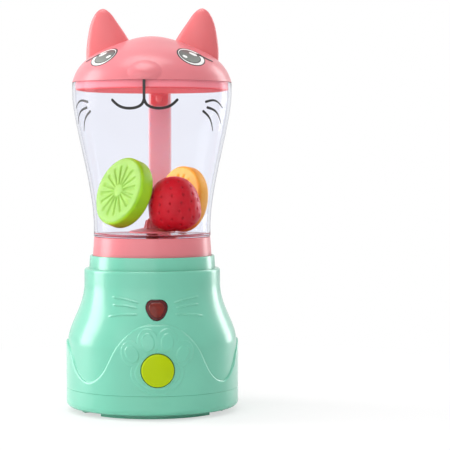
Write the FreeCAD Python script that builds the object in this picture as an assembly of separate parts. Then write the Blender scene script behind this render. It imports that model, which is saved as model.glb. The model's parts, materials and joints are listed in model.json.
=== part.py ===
import FreeCAD, Part
import math
import os
from FreeCAD import Rotation, Vector

os.makedirs("parts", exist_ok=True)

# Toy blender, millimetres. Origin on the floor under the axis of the base, +Z up, front of the base at -Y.

# ---------------------------------------------------------------- clearances
seat_gap = 0.1          # between faces that rest on each other and come apart
fit_gap = 0.1           # around a plug or rim that stays in its hole
run_gap = 0.05          # around a shaft that turns in its bush
slide_gap = 0.5         # around a lid or collar that is pushed in by hand
loose_gap = 0.3         # around screws in their holes and beside curved seats
tip_space = 0.5         # in front of the tip of a screw

# ---------------------------------------------------------------- base
foot_h = 3.0
foot_in = 8.9           # outer edge of the feet inside the side of the housing
foot_w = 6.0
foot_arc = 96.0
foot_count = 3
cover_h = 13.7          # underside of the bottom cover to its seam with the housing
cover_floor = 3.0
cover_edge = 4.0        # rounding of the lower edge
body_r = 58.9           # side of the housing below the waist
neck_ledge = 3.4        # width of the shoulder outside the socket ring
hip_z = 47.5            # where the side starts to draw in
neck_z = 89.0           # where it runs straight again
hip_pull = 13.5         # handle lengths of the curve between the two
neck_pull = 17.0
shoulder_z = 99.3
shoulder_round = 1.6
wall = 2.2
proud = 1.2             # step of the lower shell in front of the side
wave_low = 24.0
wave_top = 64.2
# rise of the wavy step between the two against the angle from the front, mirrored to both sides and to the back
wave = [
    (0, 1.0), (16, 0.918), (28, 0.6045), (37.5, 0.1866),
    (50, 0.0), (61, 0.112), (74, 0.44), (90, 0.645),
]
seam_groove = 0.35      # bevel of the bottom cover at the seam

# paw raised round the button in two steps, places counted from the middle of the button
paw_rise = 0.4          # each step
paw_border = 3.0        # width of the lower step
paw_pad_w = 15.0        # half width and half height of the pad
paw_pad_h = 11.2
paw_pad_up = -1.6
# toes, mirrored: place across and up, half width, half height, lean outwards
paw_toes = [(16.9, 11.1, 4.3, 5.9, 28.0), (6.6, 18.7, 4.3, 6.0, 8.0)]

# whiskers raised beside the lens, mirrored: near and far end, across and up from the middle of the lens
whiskers = [((11.4, 4.6), (29.5, 8.4)), ((12.6, 1.4), (29.3, 3.0)), ((12.4, -2.7), (32.1, -4.7))]
whisker_w = 1.1
whisker_bow = 0.7
whisker_rise = 0.5

# socket for the jar
ring_wall = 2.1
ring_draft = 0.5
ring_h = 8.9            # above the shoulder
ring_round = 0.6
deck_z = 98.0           # face that the collar stands on
deck_t = 2.5
lug_count = 3
lug_w = 10.0
lug_t = 5.0
socket_boss_gap = 0.7   # between the screw bosses and the collar around them
socket_boss_h = 3.0     # above the deck
deck_boss_h = 5.5       # bearing bosses under the deck

# screws: one self-tapping size throughout
screw_r = 1.5
head_r = 3.0
head_h = 2.2
boss_r = 4.0
small_boss_r = 3.5
boss_wall = 2.0         # around bushes and pins
boss_roof = 1.0         # plastic left above a blind hole
boss_bite = 8.0         # depth of thread in a boss
cover_bite = 12.0
rib_t = 2.0
cover_screw_in = 9.9    # cover screws inside the side of the housing
cover_screw_z = 12.0    # where the heads of the cover screws sit
cover_boss_top = 40.0
cover_post_top = 20.0

# ---------------------------------------------------------------- button, nose, board
button_z = 34.1
button_r = 11.0
button_gap = 0.55
button_proud = 1.9      # edge of the cap in front of the housing
button_dome = 1.2
button_travel = 3.0
button_flange = 1.9
button_skin = 1.6
button_round = 0.8
stem_r = 3.0
guide_depth = 8.4       # inner end of the button guide inside the side of the housing
spring_r = 6.2
spring_wire = 0.45
spring_turns = 5
spring_flats = 8        # the drawn wire is modelled with flats around a circle of its own area
nose_z = 73.5
nose_w = 14.6
nose_h = 13.7
nose_proud = 0.2
nose_bead = 1.2         # height of the raised middle of the lens
nose_bead_scale = 0.74
nose_flange_scale = 1.2
board_space = 14.5      # from the button guide to the front face of the circuit board
board_t = 1.6
board_w = 44.0
board_low = 24.0
board_top = 80.0
board_boss_x = 18.5
board_boss_r = 3.0
board_boss_low = 28.5
board_boss_high = 70.0
led_r = 2.5
led_space = 2.05        # from the tip of the lamp to the back of the lens
led_rim = 0.4
led_leg = 0.5
led_pitch = 2.54
chip_w = 10.0
chip_h = 1.6
chip_z = 53.0
switch_w = 7.0
switch_h = 4.0
plunger_r = 1.7
plunger_h = 1.2

# ---------------------------------------------------------------- battery bay and speaker
cell_r = 7.1
cell_l = 49.2
cell_nub = 1.0
nub_r = 2.7
cell_pitch = 15.0
cell_count = 3
spring_space = 6.0
leaf_w = 6.0
leaf_h = 10.0
leaf_t = 0.4
bay_side = 0.5
bay_wall = 1.6
door_t = 1.9
door_lap = 2.0
door_gap = 0.3
door_screw_out = 4.8    # from the inner end of the bay to the axis of the door screw
door_round = 5.0
door_head_h = 1.0       # flat heads of the captive door screws
door_screw_end = 3.0    # from the tip of a door screw to the top of its post
speaker_gap = 3.8       # between the speaker and the battery bay
speaker_h = 5.5
speaker_edge = 2.0
speaker_rim_h = 1.5
grille_pitch = 4.0
grille_hole_r = 1.1
grille_rows = 5

# ---------------------------------------------------------------- drive
tooth = 0.8             # module of all gears
tooth_top = 0.75        # stub teeth: addendum and dedendum in modules
tooth_root = 1.0
tooth_slack = 0.12
pressure = math.radians(20)
drive_teeth = 36
idler_teeth = 30
pinion_teeth = 12
idler_at = 90.0         # direction of the idler from the axis
pinion_at = 24.0        # direction of the pinion from the idler
plate_z = 72.2
plate_t = 2.8
plate_r = 36.0
plate_y = 8.0
shaft_r = 2.0
bush_wall = 2.0
bush_flange = 1.0       # width and height of the flange of the lower bush
bush_rim = 0.5          # the upper bush above the deck
shaft_end = 1.5         # of the drive shaft below its bush
gear_lift = 1.5         # from the plate to the pinion
idler_lift = 1.0        # from there to the large wheel of the idler
idler_face = 3.0
drive_low = 84.0
drive_face = 4.0
pinion_face = 5.0
idler_pin_r = 1.25
motor_shaft_r = 1.0
motor_r = 10.0
motor_flat = 15.4
motor_l = 25.0
motor_nose_r = 3.1
motor_nose_h = 1.6
motor_tail = 1.5
motor_tab_w = 2.0
motor_tab_t = 0.4
motor_tab_l = 4.0
motor_tab_x = 4.0
motor_tab_y = 5.4
cup_depth = 12.0        # of the motor cup under the gear plate
cup_wall = 1.6
post_side_x = 22.0      # posts of the gear plate: two at the sides and one at the back
post_side_y = -8.0
post_back_x = -24.0
post_back_y = 27.0
wire_slot_w = 28.0
wire_slot_d = 6.0
wire_slot_y = -21.0
dog_r = 8.0
dog_plate = 3.0
dog_lug = 4.0
dog_lug_w = 3.5
dog_hub_wall = 1.5
dog_hub_h = 2.0
dog_count = 3
dog_angle = 40.0
dog_bore = 1.0          # how far the shafts leave the dogs closed at their ends

# ---------------------------------------------------------------- jar
jar_turn = -8.8         # the jar and lid stand turned by this on the base, so the faces differ
collar_r = 41.4
collar_draft = 0.8
collar_h = 22.9
collar_wall = 2.4
collar_plate = 2.6
collar_boss_low = 6.4
jar_wall = 2.0
jar_h = 107.2
jar_foot_proud = 0.1    # foot of the jar in front of the collar under it
jar_rim_r = 55.5
jar_straight = 7.7      # upright stretches at the rim and at the foot
jar_foot_h = 7.0
jar_rim_pull = 20.0     # handle lengths of the curve between them
jar_foot_pull = 28.5
jar_foot_round = 1.2
jar_screw_r = 28.0
jar_boss_h = 7.0
jar_boss_at = 30.0
jar_boss_roof = 0.8
handle_at = 90.0
handle_space = 1.5      # between the bar of the handle and the rim of the jar
handle_t = 7.0
handle_w = 16.5
handle_root_w = 13.0
handle_top = 103.1      # heights of the handle above the underside of the jar
handle_root_h = 10.5
handle_bend = 13.0      # outer radius of the bend at the low end
handle_low = -10.5
handle_low_root = 8.5
handle_round = 1.6
handle_root_down = 0.6  # top of the root below the top of the bar
handle_root_in = 1.0    # of the root inside the bar
handle_peg_r = 2.5
handle_peg_in = 0.5     # of the peg inside the jar

# agitator, sized to the jar: shares of the inner radius of its foot
hub_size = 0.4134
hub_edge_size = 0.031
hub_h_size = 0.0879
column_low_size = 0.1525
column_top_size = 0.1163
column_h_size = 0.2842  # from the floor of the jar
column_ribs = 10
column_rib_t = 1.4
column_rib_proud = 1.0
column_cap = 3.0        # above the end of the shaft
column_round = 2.0
column_rib_end = 1.5    # below the top of the column

# lid
dome_h = 32.2
lid_wall = 2.0
# shape of the dome, as shares of its rim radius and its height
dome_shape = [(1.0, 0.0), (0.964, 0.174), (0.856, 0.435), (0.545, 0.748), (0.0, 1.0)]
liner_drop = 5.7
liner_wall = 1.6
liner_top = 2.6
liner_step = 0.9
liner_round = 0.8
snout_w = 21.6
snout_d = 10.0
snout_h = 13.0
snout_up = 6.0
snout_sunk = 1.5
snout_low = 0.6
ear_tip = 51.7          # above the lid seam
# sections of an ear, as shares of its tip: height above the seam, centre from the axis, half width, half depth
ear_levels = [
    (0.1934, 0.4894, 0.3965, 0.1547),
    (0.3868, 0.5513, 0.3462, 0.1412),
    (0.5609, 0.5957, 0.2882, 0.1257),
    (0.7157, 0.6325, 0.2263, 0.1064),
    (0.8375, 0.6576, 0.1663, 0.0832),
    (0.9323, 0.6673, 0.1064, 0.0580),
    (0.9787, 0.6712, 0.0561, 0.0329),
]
ear_back = 3.0
ear_peg_r = 2.0
ear_peg_near = 25.0
ear_peg_far = 38.0
ear_peg_l = 3.0

# play fruit, sized to the jar: shares of the inner radius of its foot, from the middle of its floor
lime_size = 0.6331
lime_t_size = 0.2972
lime_round = 2.5
lime_rays = 16
lime_place = Vector(-0.5168, -0.2119, 0.7416)
lime_facing = Vector(-0.763, -0.558, 0.331)
berry_size = 0.9819
berry_place = Vector(0.4186, -0.3953, 0.062)
berry_lean = 6.0
# outline of the strawberry, as shares of its height: radius, height
berry_shape = [(0.0, 0.0), (0.26, 0.05), (0.43, 0.2), (0.465, 0.42), (0.40, 0.70), (0.22, 0.93), (0.0, 1.0)]
orange_size = 0.5995
orange_t_size = 0.2326
orange_round = 2.0
orange_rays = 16
orange_place = Vector(0.5943, 0.4005, 0.6124)
orange_facing = Vector(-0.808, -0.578, 0.13)
# rays pressed into both faces of a slice: ends and widths as shares of its radius, and depth
ray_near = 0.2
ray_far = 0.72
ray_near_w = 0.015
ray_far_w = 0.1
ray_depth = 0.6

# ---------------------------------------------------------------- derived sizes
cover_z = foot_h
seam_z = cover_z + cover_h
skirt_r = body_r + proud
foot_r = body_r - foot_in
lip_out = body_r - wall - fit_gap
lip_in = lip_out - bay_wall
cover_screw_r = body_r - cover_screw_in
guide_end = body_r - guide_depth
board_y = guide_end - board_space
ring_hole_r = collar_r + slide_gap
ring_r = ring_hole_r + ring_wall
neck_r = ring_r + neck_ledge
socket_screw_r = collar_r - collar_wall - small_boss_r - socket_boss_gap
ring_top = shoulder_z + ring_h
collar_z = deck_z + seat_gap
jar_z = collar_z + collar_h
jar_top = jar_z + jar_h
jar_foot_r = collar_r - collar_draft + jar_foot_proud
jar_in = jar_foot_r - jar_wall
jar_floor = jar_z + jar_wall
lid_z = jar_top + seat_gap
liner_z = lid_z - liner_drop
hub_r = hub_size * jar_in
hub_edge = hub_edge_size * jar_in
hub_h = hub_h_size * jar_in
column_low_r = column_low_size * jar_in
column_top_r = column_top_size * jar_in
column_h = column_h_size * jar_in
socket_boss_top = deck_z + socket_boss_h
cover_bore_top = cover_post_top + cover_bite
agitator_bush_low = jar_z - collar_plate - collar_boss_low
agitator_bush_top = jar_floor + loose_gap
agitator_shaft_top = jar_floor + column_h - column_cap
jar_boss_low = jar_z - jar_boss_h
jar_cup_low = jar_boss_low - wall
handle_out = jar_rim_r + handle_space + handle_t
handle_peg_z = jar_z + handle_top - handle_root_h / 2
handle_screw_z = jar_z + handle_low + handle_low_root / 2
bush_r = shaft_r + bush_wall
plate_top = plate_z + plate_t
deck_low = deck_z - deck_t
cell_z = cover_z + door_t + seat_gap + fit_gap + cell_r
bay_x = (cell_count - 1) * cell_pitch / 2 + cell_r + bay_side
bay_y = (cell_l + cell_nub + spring_space) / 2
bay_top = cell_z + cell_r + bay_side
bay_out_x = bay_x + bay_wall
bay_out_y = bay_y + bay_wall
speaker_r = (lip_in - bay_out_x - speaker_gap) / 2
speaker_x = lip_in - speaker_r
door_boss_top = cell_z + cell_r / 2
door_x = bay_x + door_lap
door_screw_y = bay_y + door_screw_out
door_y = door_screw_y + boss_r
stem_end = board_y + switch_h + plunger_h + button_travel + seat_gap + fit_gap
nose_hole_scale = 1 + 2 * fit_gap / nose_w
drive_r = tooth * drive_teeth / 2
idler_r = tooth * idler_teeth / 2
pinion_r = tooth * pinion_teeth / 2
gear_low = plate_top + gear_lift
idler_low = gear_low + idler_lift
deck_boss_low = deck_low - deck_boss_h
bush_top_lower = plate_top + bush_flange
dog_z = deck_z + bush_rim + loose_gap
dog_top = dog_z + dog_plate
drive_shaft_top = dog_top + dog_bore
driven_low = dog_top + dog_lug + loose_gap
driven_top = driven_low + dog_plate
idler_x = (drive_r + pinion_r) * math.cos(math.radians(idler_at))
idler_y = (drive_r + pinion_r) * math.sin(math.radians(idler_at))
motor_x = idler_x + (idler_r + pinion_r) * math.cos(math.radians(pinion_at))
motor_y = idler_y + (idler_r + pinion_r) * math.sin(math.radians(pinion_at))
plate_posts = [(-post_side_x, post_side_y), (post_side_x, post_side_y), (post_back_x, post_back_y)]
board_screw_at = [(x, z) for x in (-board_boss_x, board_boss_x) for z in (board_boss_low, board_boss_high)]

UP = Vector(0, 0, 1)
BACK = Vector(0, 1, 0)


# ---------------------------------------------------------------- helpers
class Outline:
    """A closed half section, drawn point by point as (radius, height)."""

    def __init__(self, r, z):
        self.first = Vector(r, 0, z)
        self.here = self.first
        self.edges = []

    def add(self, curve, end):
        self.edges.append(curve.toShape())
        self.here = end
        return self

    def line(self, r, z):
        end = Vector(r, 0, z)
        return self.add(Part.LineSegment(self.here, end), end)

    def quarter(self, r, z, upright=True):
        """A quarter circle that leaves upright, or level, and ends at (r, z)."""
        end = Vector(r, 0, z)
        if upright:
            centre = Vector(r, 0, self.here.z)
        else:
            centre = Vector(self.here.x, 0, z)
        side = (self.here - centre) + (end - centre)
        middle = centre + side * math.sqrt(0.5)
        return self.add(Part.Arc(self.here, middle, end), end)

    def bezier(self, pull_here, pull_end, r, z):
        """A curve that leaves and arrives upright, with the two handle lengths given."""
        end = Vector(r, 0, z)
        way = math.copysign(1, z - self.here.z)
        curve = Part.BezierCurve()
        curve.setPoles([
            self.here,
            self.here + UP * way * pull_here,
            end - UP * way * pull_end,
            end,
        ])
        return self.add(curve, end)

    def spline(self, points, start_way=None, end_way=None):
        stops = [self.here] + [Vector(r, 0, z) for r, z in points]
        curve = Part.BSplineCurve()
        if start_way is None:
            curve.interpolate(stops)
        else:
            curve.interpolate(
                stops,
                InitialTangent=Vector(start_way[0], 0, start_way[1]),
                FinalTangent=Vector(end_way[0], 0, end_way[1]),
            )
        return self.add(curve, stops[-1])

    def face(self):
        if self.here.distanceToPoint(self.first) > 1e-6:
            self.line(self.first.x, self.first.z)
        return Part.Face(Part.Wire(self.edges))

    def turned(self):
        """The solid that the section makes when it goes round the axis."""
        return self.face().revolve(Vector(), UP, 360)


def block(x, y, z):
    """A box from its two limits along each axis."""
    return Part.makeBox(x[1] - x[0], y[1] - y[0], z[1] - z[0], Vector(x[0], y[0], z[0]))


def pad(x, y, z, rounding):
    """A block about the axis, from its half sizes along X and Y, with rounded upright edges."""
    slab = block((-x, x), (-y, y), z)
    upright = [edge for edge in slab.Edges if abs(edge.Vertexes[0].Z - edge.Vertexes[-1].Z) > 1e-6]
    return slab.makeFillet(rounding, upright)


def rod(radius, low, high, x=0.0, y=0.0):
    return Part.makeCylinder(radius, high - low, Vector(x, y, low), UP)


def rod_back(radius, front, back, x, z):
    """A cylinder that runs front to back, between two values of Y."""
    return Part.makeCylinder(radius, back - front, Vector(x, front, z), BACK)


def tube(outer, inner, low, high, x=0.0, y=0.0):
    return rod(outer, low, high, x, y).cut(rod(inner, low, high, x, y))


def spun(shape, degrees):
    """A copy turned about the vertical axis of the toy."""
    copy = shape.copy()
    copy.rotate(Vector(), UP, degrees)
    return copy


def ring_of(shape, count, first=0.0):
    """Copies of a shape, evenly spaced about the vertical axis."""
    return [spun(shape, first + 360.0 * i / count) for i in range(count)]


def facing(shape, way, at):
    """A shape built about the origin with its face up, put at a point and turned to look a given way."""
    copy = shape.copy()
    copy.Placement = FreeCAD.Placement(at, Rotation(UP, way))
    return copy


def closed_curve(points):
    """A smooth closed outline through points."""
    curve = Part.BSplineCurve()
    curve.interpolate(points, PeriodicFlag=True)
    return Part.Wire([curve.toShape()])


def screw_up(x, y, seat, tip):
    """A pan-head screw put in from below, with its head against the seat."""
    return rod(head_r, seat - head_h, seat, x, y).fuse(rod(screw_r, seat, tip, x, y))


def rod_out(radius, near, far, z):
    """A cylinder that runs outwards along +X, between two distances from the axis."""
    return Part.makeCylinder(radius, far - near, Vector(near, 0, z), Vector(1, 0, 0))


def moved(shape, x, y):
    copy = shape.copy()
    copy.translate(Vector(x, y, 0))
    return copy


def save(name, shapes):
    solids = shapes if isinstance(shapes, list) else [shapes]
    shape = solids[0] if len(solids) == 1 else Part.makeCompound(solids)
    shape.exportStep("parts/" + name + ".step")
    print(name, len(shape.Solids), round(shape.Volume, 1), shape.isValid())


# ---------------------------------------------------------------- housing
def body_side(outline, offset):
    """The side of the housing from the seam up to the neck, moved outwards by an offset."""
    outline.line(body_r + offset, seam_z)
    outline.line(body_r + offset, hip_z)
    outline.bezier(hip_pull, neck_pull, neck_r + offset, neck_z)
    return outline


def side_r(z):
    """Radius of the side at a height between the hip and the neck, found on its curve by halving."""
    low, high = 0.0, 1.0
    heights = (hip_z, hip_z + hip_pull, neck_z - neck_pull, neck_z)
    for step in range(40):
        t = (low + high) / 2
        weights = ((1 - t) ** 3, 3 * (1 - t) ** 2 * t, 3 * (1 - t) * t ** 2, t ** 3)
        if sum(w * h for w, h in zip(weights, heights)) < z:
            low = t
        else:
            high = t
    return body_r + (neck_r - body_r) * (3 * t ** 2 - 2 * t ** 3)


def body_core(offset):
    """Everything inside the side of the housing, moved outwards by an offset."""
    outline = body_side(Outline(0, seam_z), offset)
    outline.line(neck_r + offset, shoulder_z)
    outline.line(0, shoulder_z)
    return outline.turned()


def wave_curve(radius):
    """The wavy edge of the lower shell, drawn on a cylinder."""
    quarter = wave[:-1]
    half = wave + [(180 - a, share) for a, share in reversed(quarter)]
    whole = half + [(360 - a, share) for a, share in reversed(half[1:-1])]
    points = []
    for a, share in whole:
        turn = math.radians(a)
        height = wave_low + (wave_top - wave_low) * share
        points.append(Vector(radius * math.sin(turn), -radius * math.cos(turn), height))
    curve = Part.BSplineCurve()
    curve.interpolate(points, PeriodicFlag=True, Parameters=[a for a, share in whole] + [360])
    return curve.toShape()


def raised(edges, height):
    """Outlines in front of the housing, run back onto its side and raised over it by a height."""
    prisms = [Part.Face(Part.Wire(edge)).extrude(BACK * 1.5 * body_r) for edge in edges]
    skin = body_core(height).cut(body_core(-wall / 2))
    return [prism.common(skin) for prism in prisms]


def oval(x, z, half_w, half_h, lean):
    """The outline of an oval that leans outwards."""
    turn = math.copysign(math.radians(lean), x)
    up = Vector(math.sin(turn), 0, math.cos(turn)) * half_h
    out = Vector(math.cos(turn), 0, -math.sin(turn)) * half_w
    far, near = (up, out) if half_h > half_w else (out, up)
    centre = Vector(x, -2 * body_r, z)
    return [Part.Ellipse(centre + far, centre + near, centre).toShape()]


def paw_step(border, height):
    """The toes and the pad of the paw, with a border, raised over the side by a height."""
    ovals = [oval(0, button_z + paw_pad_up, paw_pad_w + border, paw_pad_h + border, 0)]
    for x, up, half_w, half_h, lean in paw_toes:
        ovals += [oval(way * x, button_z + up, half_w + border, half_h + border, lean) for way in (-1, 1)]
    return raised(ovals, height)


def whisker_edge(near, far, way):
    """The outline of a whisker: a slim leaf with pointed ends."""
    start, end = (Vector(way * x, -2 * body_r, nose_z + up) for x, up in (near, far))
    middle = (start + end) / 2 + UP * whisker_bow
    upper = Part.Arc(start, middle + UP * whisker_w / 2, end)
    lower = Part.Arc(end, middle - UP * whisker_w / 2, start)
    return [upper.toShape(), lower.toShape()]


def lower_shell():
    """The proud skin of the housing below the wavy step, with the paw on it."""
    overlap = wall / 2
    skin = body_core(proud).cut(body_core(-overlap))
    skin = skin.fuse(paw_step(paw_border, proud + paw_rise) + paw_step(0, proud + 2 * paw_rise))
    above = Part.makeRuledSurface(wave_curve(neck_r / 2), wave_curve(2 * body_r))
    return skin.cut(above.extrude(UP * shoulder_z))


def nose_outline(scale, y):
    """The shield shape of the nose lens."""
    half = [(0, 0.5), (0.31, 0.475), (0.493, 0.22), (0.43, -0.13), (0.22, -0.42), (0, -0.5)]
    whole = half + [(-x, z) for x, z in reversed(half[1:-1])]
    points = [Vector(x * nose_w * scale, y, nose_z + z * nose_h * scale) for x, z in whole]
    return closed_curve(points)


def nose_prism(scale):
    """The outline of the lens, run from in front of the housing to the circuit board."""
    front = -2 * body_r
    return Part.Face(nose_outline(scale, front)).extrude(BACK * (-board_y - front))


def make_housing():
    inner = neck_r - wall
    opening = ring_r + fit_gap
    outline = body_side(Outline(body_r - wall, seam_z), 0)
    outline.line(neck_r, shoulder_z - shoulder_round)
    outline.quarter(neck_r - shoulder_round, shoulder_z)
    outline.line(opening, shoulder_z)
    outline.line(opening, shoulder_z - wall)
    outline.line(inner, shoulder_z - wall)
    outline.line(inner, neck_z)
    outline.bezier(neck_pull, hip_pull, body_r - wall, hip_z)
    edges = [whisker_edge(near, far, way) for near, far in whiskers for way in (-1, 1)]
    shell = outline.turned().fuse([lower_shell()] + raised(edges, whisker_rise)).removeSplitter()

    within = body_core(-wall / 2)
    fittings = []
    rib = block((cover_screw_r, body_r), (-rib_t / 2, rib_t / 2), (cover_post_top, cover_boss_top))
    post = rod(boss_r, cover_post_top, cover_boss_top, cover_screw_r)
    fittings += ring_of(post.fuse(rib), foot_count, 90)
    lug = block((socket_screw_r - boss_r, neck_r), (-lug_w / 2, lug_w / 2), (deck_low - lug_t, deck_low))
    fittings += ring_of(lug, lug_count, 90)
    fittings += [rod_back(board_boss_r, -body_r, -board_y, x, z) for x, z in board_screw_at]
    guide_r = button_r + button_gap
    fittings.append(rod_back(guide_r + button_skin, -body_r, -guide_end, 0, button_z))
    shell = shell.fuse([fitting.common(within) for fitting in fittings]).removeSplitter()

    holes = [rod_back(guide_r, -2 * body_r, -guide_end, 0, button_z)]
    bore = rod(screw_r, cover_post_top, cover_bore_top, cover_screw_r)
    holes += ring_of(bore, foot_count, 90)
    holes += ring_of(rod(screw_r + loose_gap, deck_low - lug_t, deck_low, socket_screw_r), lug_count, 90)
    holes += [rod_back(screw_r, -board_y - boss_bite, -board_y, x, z) for x, z in board_screw_at]
    holes.append(nose_prism(nose_hole_scale))
    return shell.cut(holes)


def make_nose_lens():
    plug = nose_prism(1).common(body_core(nose_proud))
    bead = nose_prism(nose_bead_scale).common(body_core(nose_bead))
    flange = nose_prism(nose_flange_scale).common(body_core(-wall - fit_gap))
    lens = plug.fuse([bead, flange])
    return lens.cut(body_core(-wall - fit_gap - button_skin)).removeSplitter()


def make_bottom_cover():
    floor_top = cover_z + cover_floor
    outline = Outline(0, cover_z)
    outline.line(skirt_r - cover_edge, cover_z)
    outline.quarter(skirt_r, cover_z + cover_edge, upright=False)
    outline.line(skirt_r, seam_z - seam_groove)
    outline.line(skirt_r - seam_groove, seam_z)
    outline.line(lip_out, seam_z)
    outline.line(lip_out, seam_z + wall)
    outline.line(lip_in, seam_z + wall)
    outline.line(lip_in, seam_z - wall)
    outline.line(skirt_r - wall, seam_z - wall - (skirt_r - wall - lip_in))
    outline.line(skirt_r - wall, floor_top)
    outline.line(0, floor_top)
    cover = outline.turned()

    foot = tube(foot_r, foot_r - foot_w, 0, cover_z)
    arcs = []
    for i in range(foot_count):
        wedge = Part.makeCylinder(foot_r + 1, cover_z, Vector(), UP, foot_arc)
        arcs.append(foot.common(spun(wedge, 360.0 * i / foot_count - 90 - foot_arc / 2)))
    bay = block((-bay_out_x, bay_out_x), (-bay_out_y, bay_out_y), (floor_top, bay_top + bay_wall))
    posts = ring_of(rod(boss_r, floor_top, cover_post_top, cover_screw_r), foot_count, 90)
    posts += [rod(boss_r, floor_top, door_boss_top, 0, side * door_screw_y) for side in (-1, 1)]
    cover = cover.fuse(arcs + [bay] + posts).removeSplitter()

    cuts = [block((-bay_x, bay_x), (-bay_y, bay_y), (0, bay_top))]
    recess = (0, cover_z + door_t + seat_gap)
    cuts.append(pad(door_x + door_gap, door_y + door_gap, recess, door_round + door_gap))
    for side in (-1, 1):
        cuts.append(rod(screw_r + loose_gap, 0, door_boss_top - boss_roof, 0, side * door_screw_y))
    through = rod(screw_r + loose_gap, 0, cover_post_top, cover_screw_r)
    sink = rod(head_r + loose_gap, 0, cover_screw_z, cover_screw_r)
    cuts += ring_of(through.fuse(sink), foot_count, 90)
    steps = [(i - (grille_rows - 1) / 2) * grille_pitch for i in range(grille_rows)]
    for x, y in [(speaker_x + i, j) for i in steps for j in steps]:
        from_foot = abs(math.hypot(x, y) - foot_r + foot_w / 2)
        clear_of_foot = from_foot > foot_w / 2 + grille_hole_r
        clear_of_rim = math.hypot(x - speaker_x, y) < speaker_r - speaker_edge - grille_hole_r
        if clear_of_foot and clear_of_rim:
            cuts.append(rod(grille_hole_r, 0, floor_top, x, y))
    return cover.cut(cuts)


def make_housing_screws():
    screw = screw_up(cover_screw_r, 0, cover_screw_z, cover_bore_top - tip_space)
    return ring_of(screw, foot_count, 90)


def make_jar_socket():
    opening = ring_hole_r
    outline = Outline(0, deck_low)
    outline.line(ring_r, deck_low)
    outline.line(ring_r, shoulder_z)
    outline.line(ring_r - ring_draft, ring_top - ring_round)
    outline.quarter(ring_r - ring_draft - ring_round, ring_top)
    outline.line(opening, ring_top)
    outline.line(opening, deck_z)
    outline.line(0, deck_z)
    socket = outline.turned()

    bosses = ring_of(rod(small_boss_r, deck_z, socket_boss_top, socket_screw_r), lug_count, 90)
    bosses += [rod(small_boss_r, plate_top, deck_low, x, y) for x, y in plate_posts]
    bosses.append(rod(bush_r + boss_wall, deck_boss_low, deck_low))
    bosses.append(rod(idler_pin_r + boss_wall, deck_boss_low, deck_low, idler_x, idler_y))
    socket = socket.fuse(bosses).removeSplitter()

    cuts = ring_of(rod(screw_r, deck_low, socket_boss_top - boss_roof, socket_screw_r), lug_count, 90)
    cuts += [rod(screw_r, plate_top, plate_top + boss_bite, x, y) for x, y in plate_posts]
    cuts.append(rod(bush_r, 0, ring_top))
    cuts.append(rod(idler_pin_r, deck_boss_low, deck_low - boss_roof, idler_x, idler_y))
    return socket.cut(cuts)


def make_socket_screws():
    screw = screw_up(socket_screw_r, 0, deck_low - lug_t, socket_boss_top - boss_roof - tip_space)
    return ring_of(screw, lug_count, 90)


# ---------------------------------------------------------------- drive
def involute(angle):
    return math.tan(angle) - angle


def gear(teeth, low, high, bore, phase=0.0):
    """A spur gear on the vertical axis with involute flanks; phase turns its first tooth, in degrees."""
    pitch_r = tooth * teeth / 2
    base_r = pitch_r * math.cos(pressure)
    tip_r = pitch_r + tooth * tooth_top
    root_r = pitch_r - tooth * tooth_root
    foot = max(base_r, root_r)
    half = math.pi / (2 * teeth) - tooth_slack / (2 * pitch_r) + involute(pressure)

    def corner(radius, side, centre):
        angle = half - involute(math.acos(min(1.0, base_r / radius)))
        angle = centre + side * angle
        return Vector(radius * math.cos(angle), radius * math.sin(angle), low)

    def spoke(radius, angle):
        return Vector(radius * math.cos(angle), radius * math.sin(angle), low)

    edges = []
    step = 2 * math.pi / teeth
    middle = (foot + tip_r) / 2
    flank_foot = half - involute(math.acos(min(1.0, base_r / foot)))
    for i in range(teeth):
        centre = math.radians(phase) + i * step
        rise = [corner(r, -1, centre) for r in (foot, middle, tip_r)]
        fall = [corner(r, 1, centre) for r in (tip_r, middle, foot)]
        start = spoke(root_r, centre - flank_foot)
        end = spoke(root_r, centre + flank_foot)
        following = spoke(root_r, centre + step - flank_foot)
        if root_r < base_r:
            edges.append(Part.LineSegment(start, rise[0]).toShape())
        edges.append(Part.Arc(*rise).toShape())
        edges.append(Part.LineSegment(rise[-1], fall[0]).toShape())
        edges.append(Part.Arc(*fall).toShape())
        if root_r < base_r:
            edges.append(Part.LineSegment(fall[-1], end).toShape())
        edges.append(Part.LineSegment(end, following).toShape())
    wheel = Part.Face(Part.Wire(edges)).extrude(UP * (high - low))
    return wheel.cut(rod(bore, low, high))


def make_drive_gear():
    wheel = gear(drive_teeth, drive_low, drive_low + drive_face, shaft_r)
    hub = tube(shaft_r + boss_wall, shaft_r, bush_top_lower + loose_gap, deck_boss_low - loose_gap)
    return wheel.fuse(hub).removeSplitter()


def make_idler_pin():
    return rod(idler_pin_r, plate_z, deck_low - boss_roof - tip_space, idler_x, idler_y)


def make_idler_gear():
    small_phase = idler_at + 180 + 180.0 / pinion_teeth
    big_phase = pinion_at
    bore = idler_pin_r + run_gap
    big = gear(idler_teeth, idler_low, idler_low + idler_face, bore, big_phase)
    small = gear(pinion_teeth, idler_low + idler_face, deck_boss_low - loose_gap, bore, small_phase)
    hub = tube(idler_pin_r + boss_wall, bore, plate_top + loose_gap, idler_low)
    return moved(big.fuse([small, hub]).removeSplitter(), idler_x, idler_y)


def make_motor_pinion():
    phase = pinion_at + 180 + 180.0 / pinion_teeth
    wheel = gear(pinion_teeth, gear_low, gear_low + pinion_face, motor_shaft_r, phase)
    return moved(wheel, motor_x, motor_y)


def make_motor_shaft():
    return rod(motor_shaft_r, plate_z - motor_l - motor_tail, gear_low + pinion_face, motor_x, motor_y)


def motor_can(low):
    """The flat-sided can of the motor, from a height up to the gear plate."""
    flats = block((-motor_r, motor_r), (-motor_flat / 2, motor_flat / 2), (low, plate_z))
    return rod(motor_r, low, plate_z).common(flats)


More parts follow.
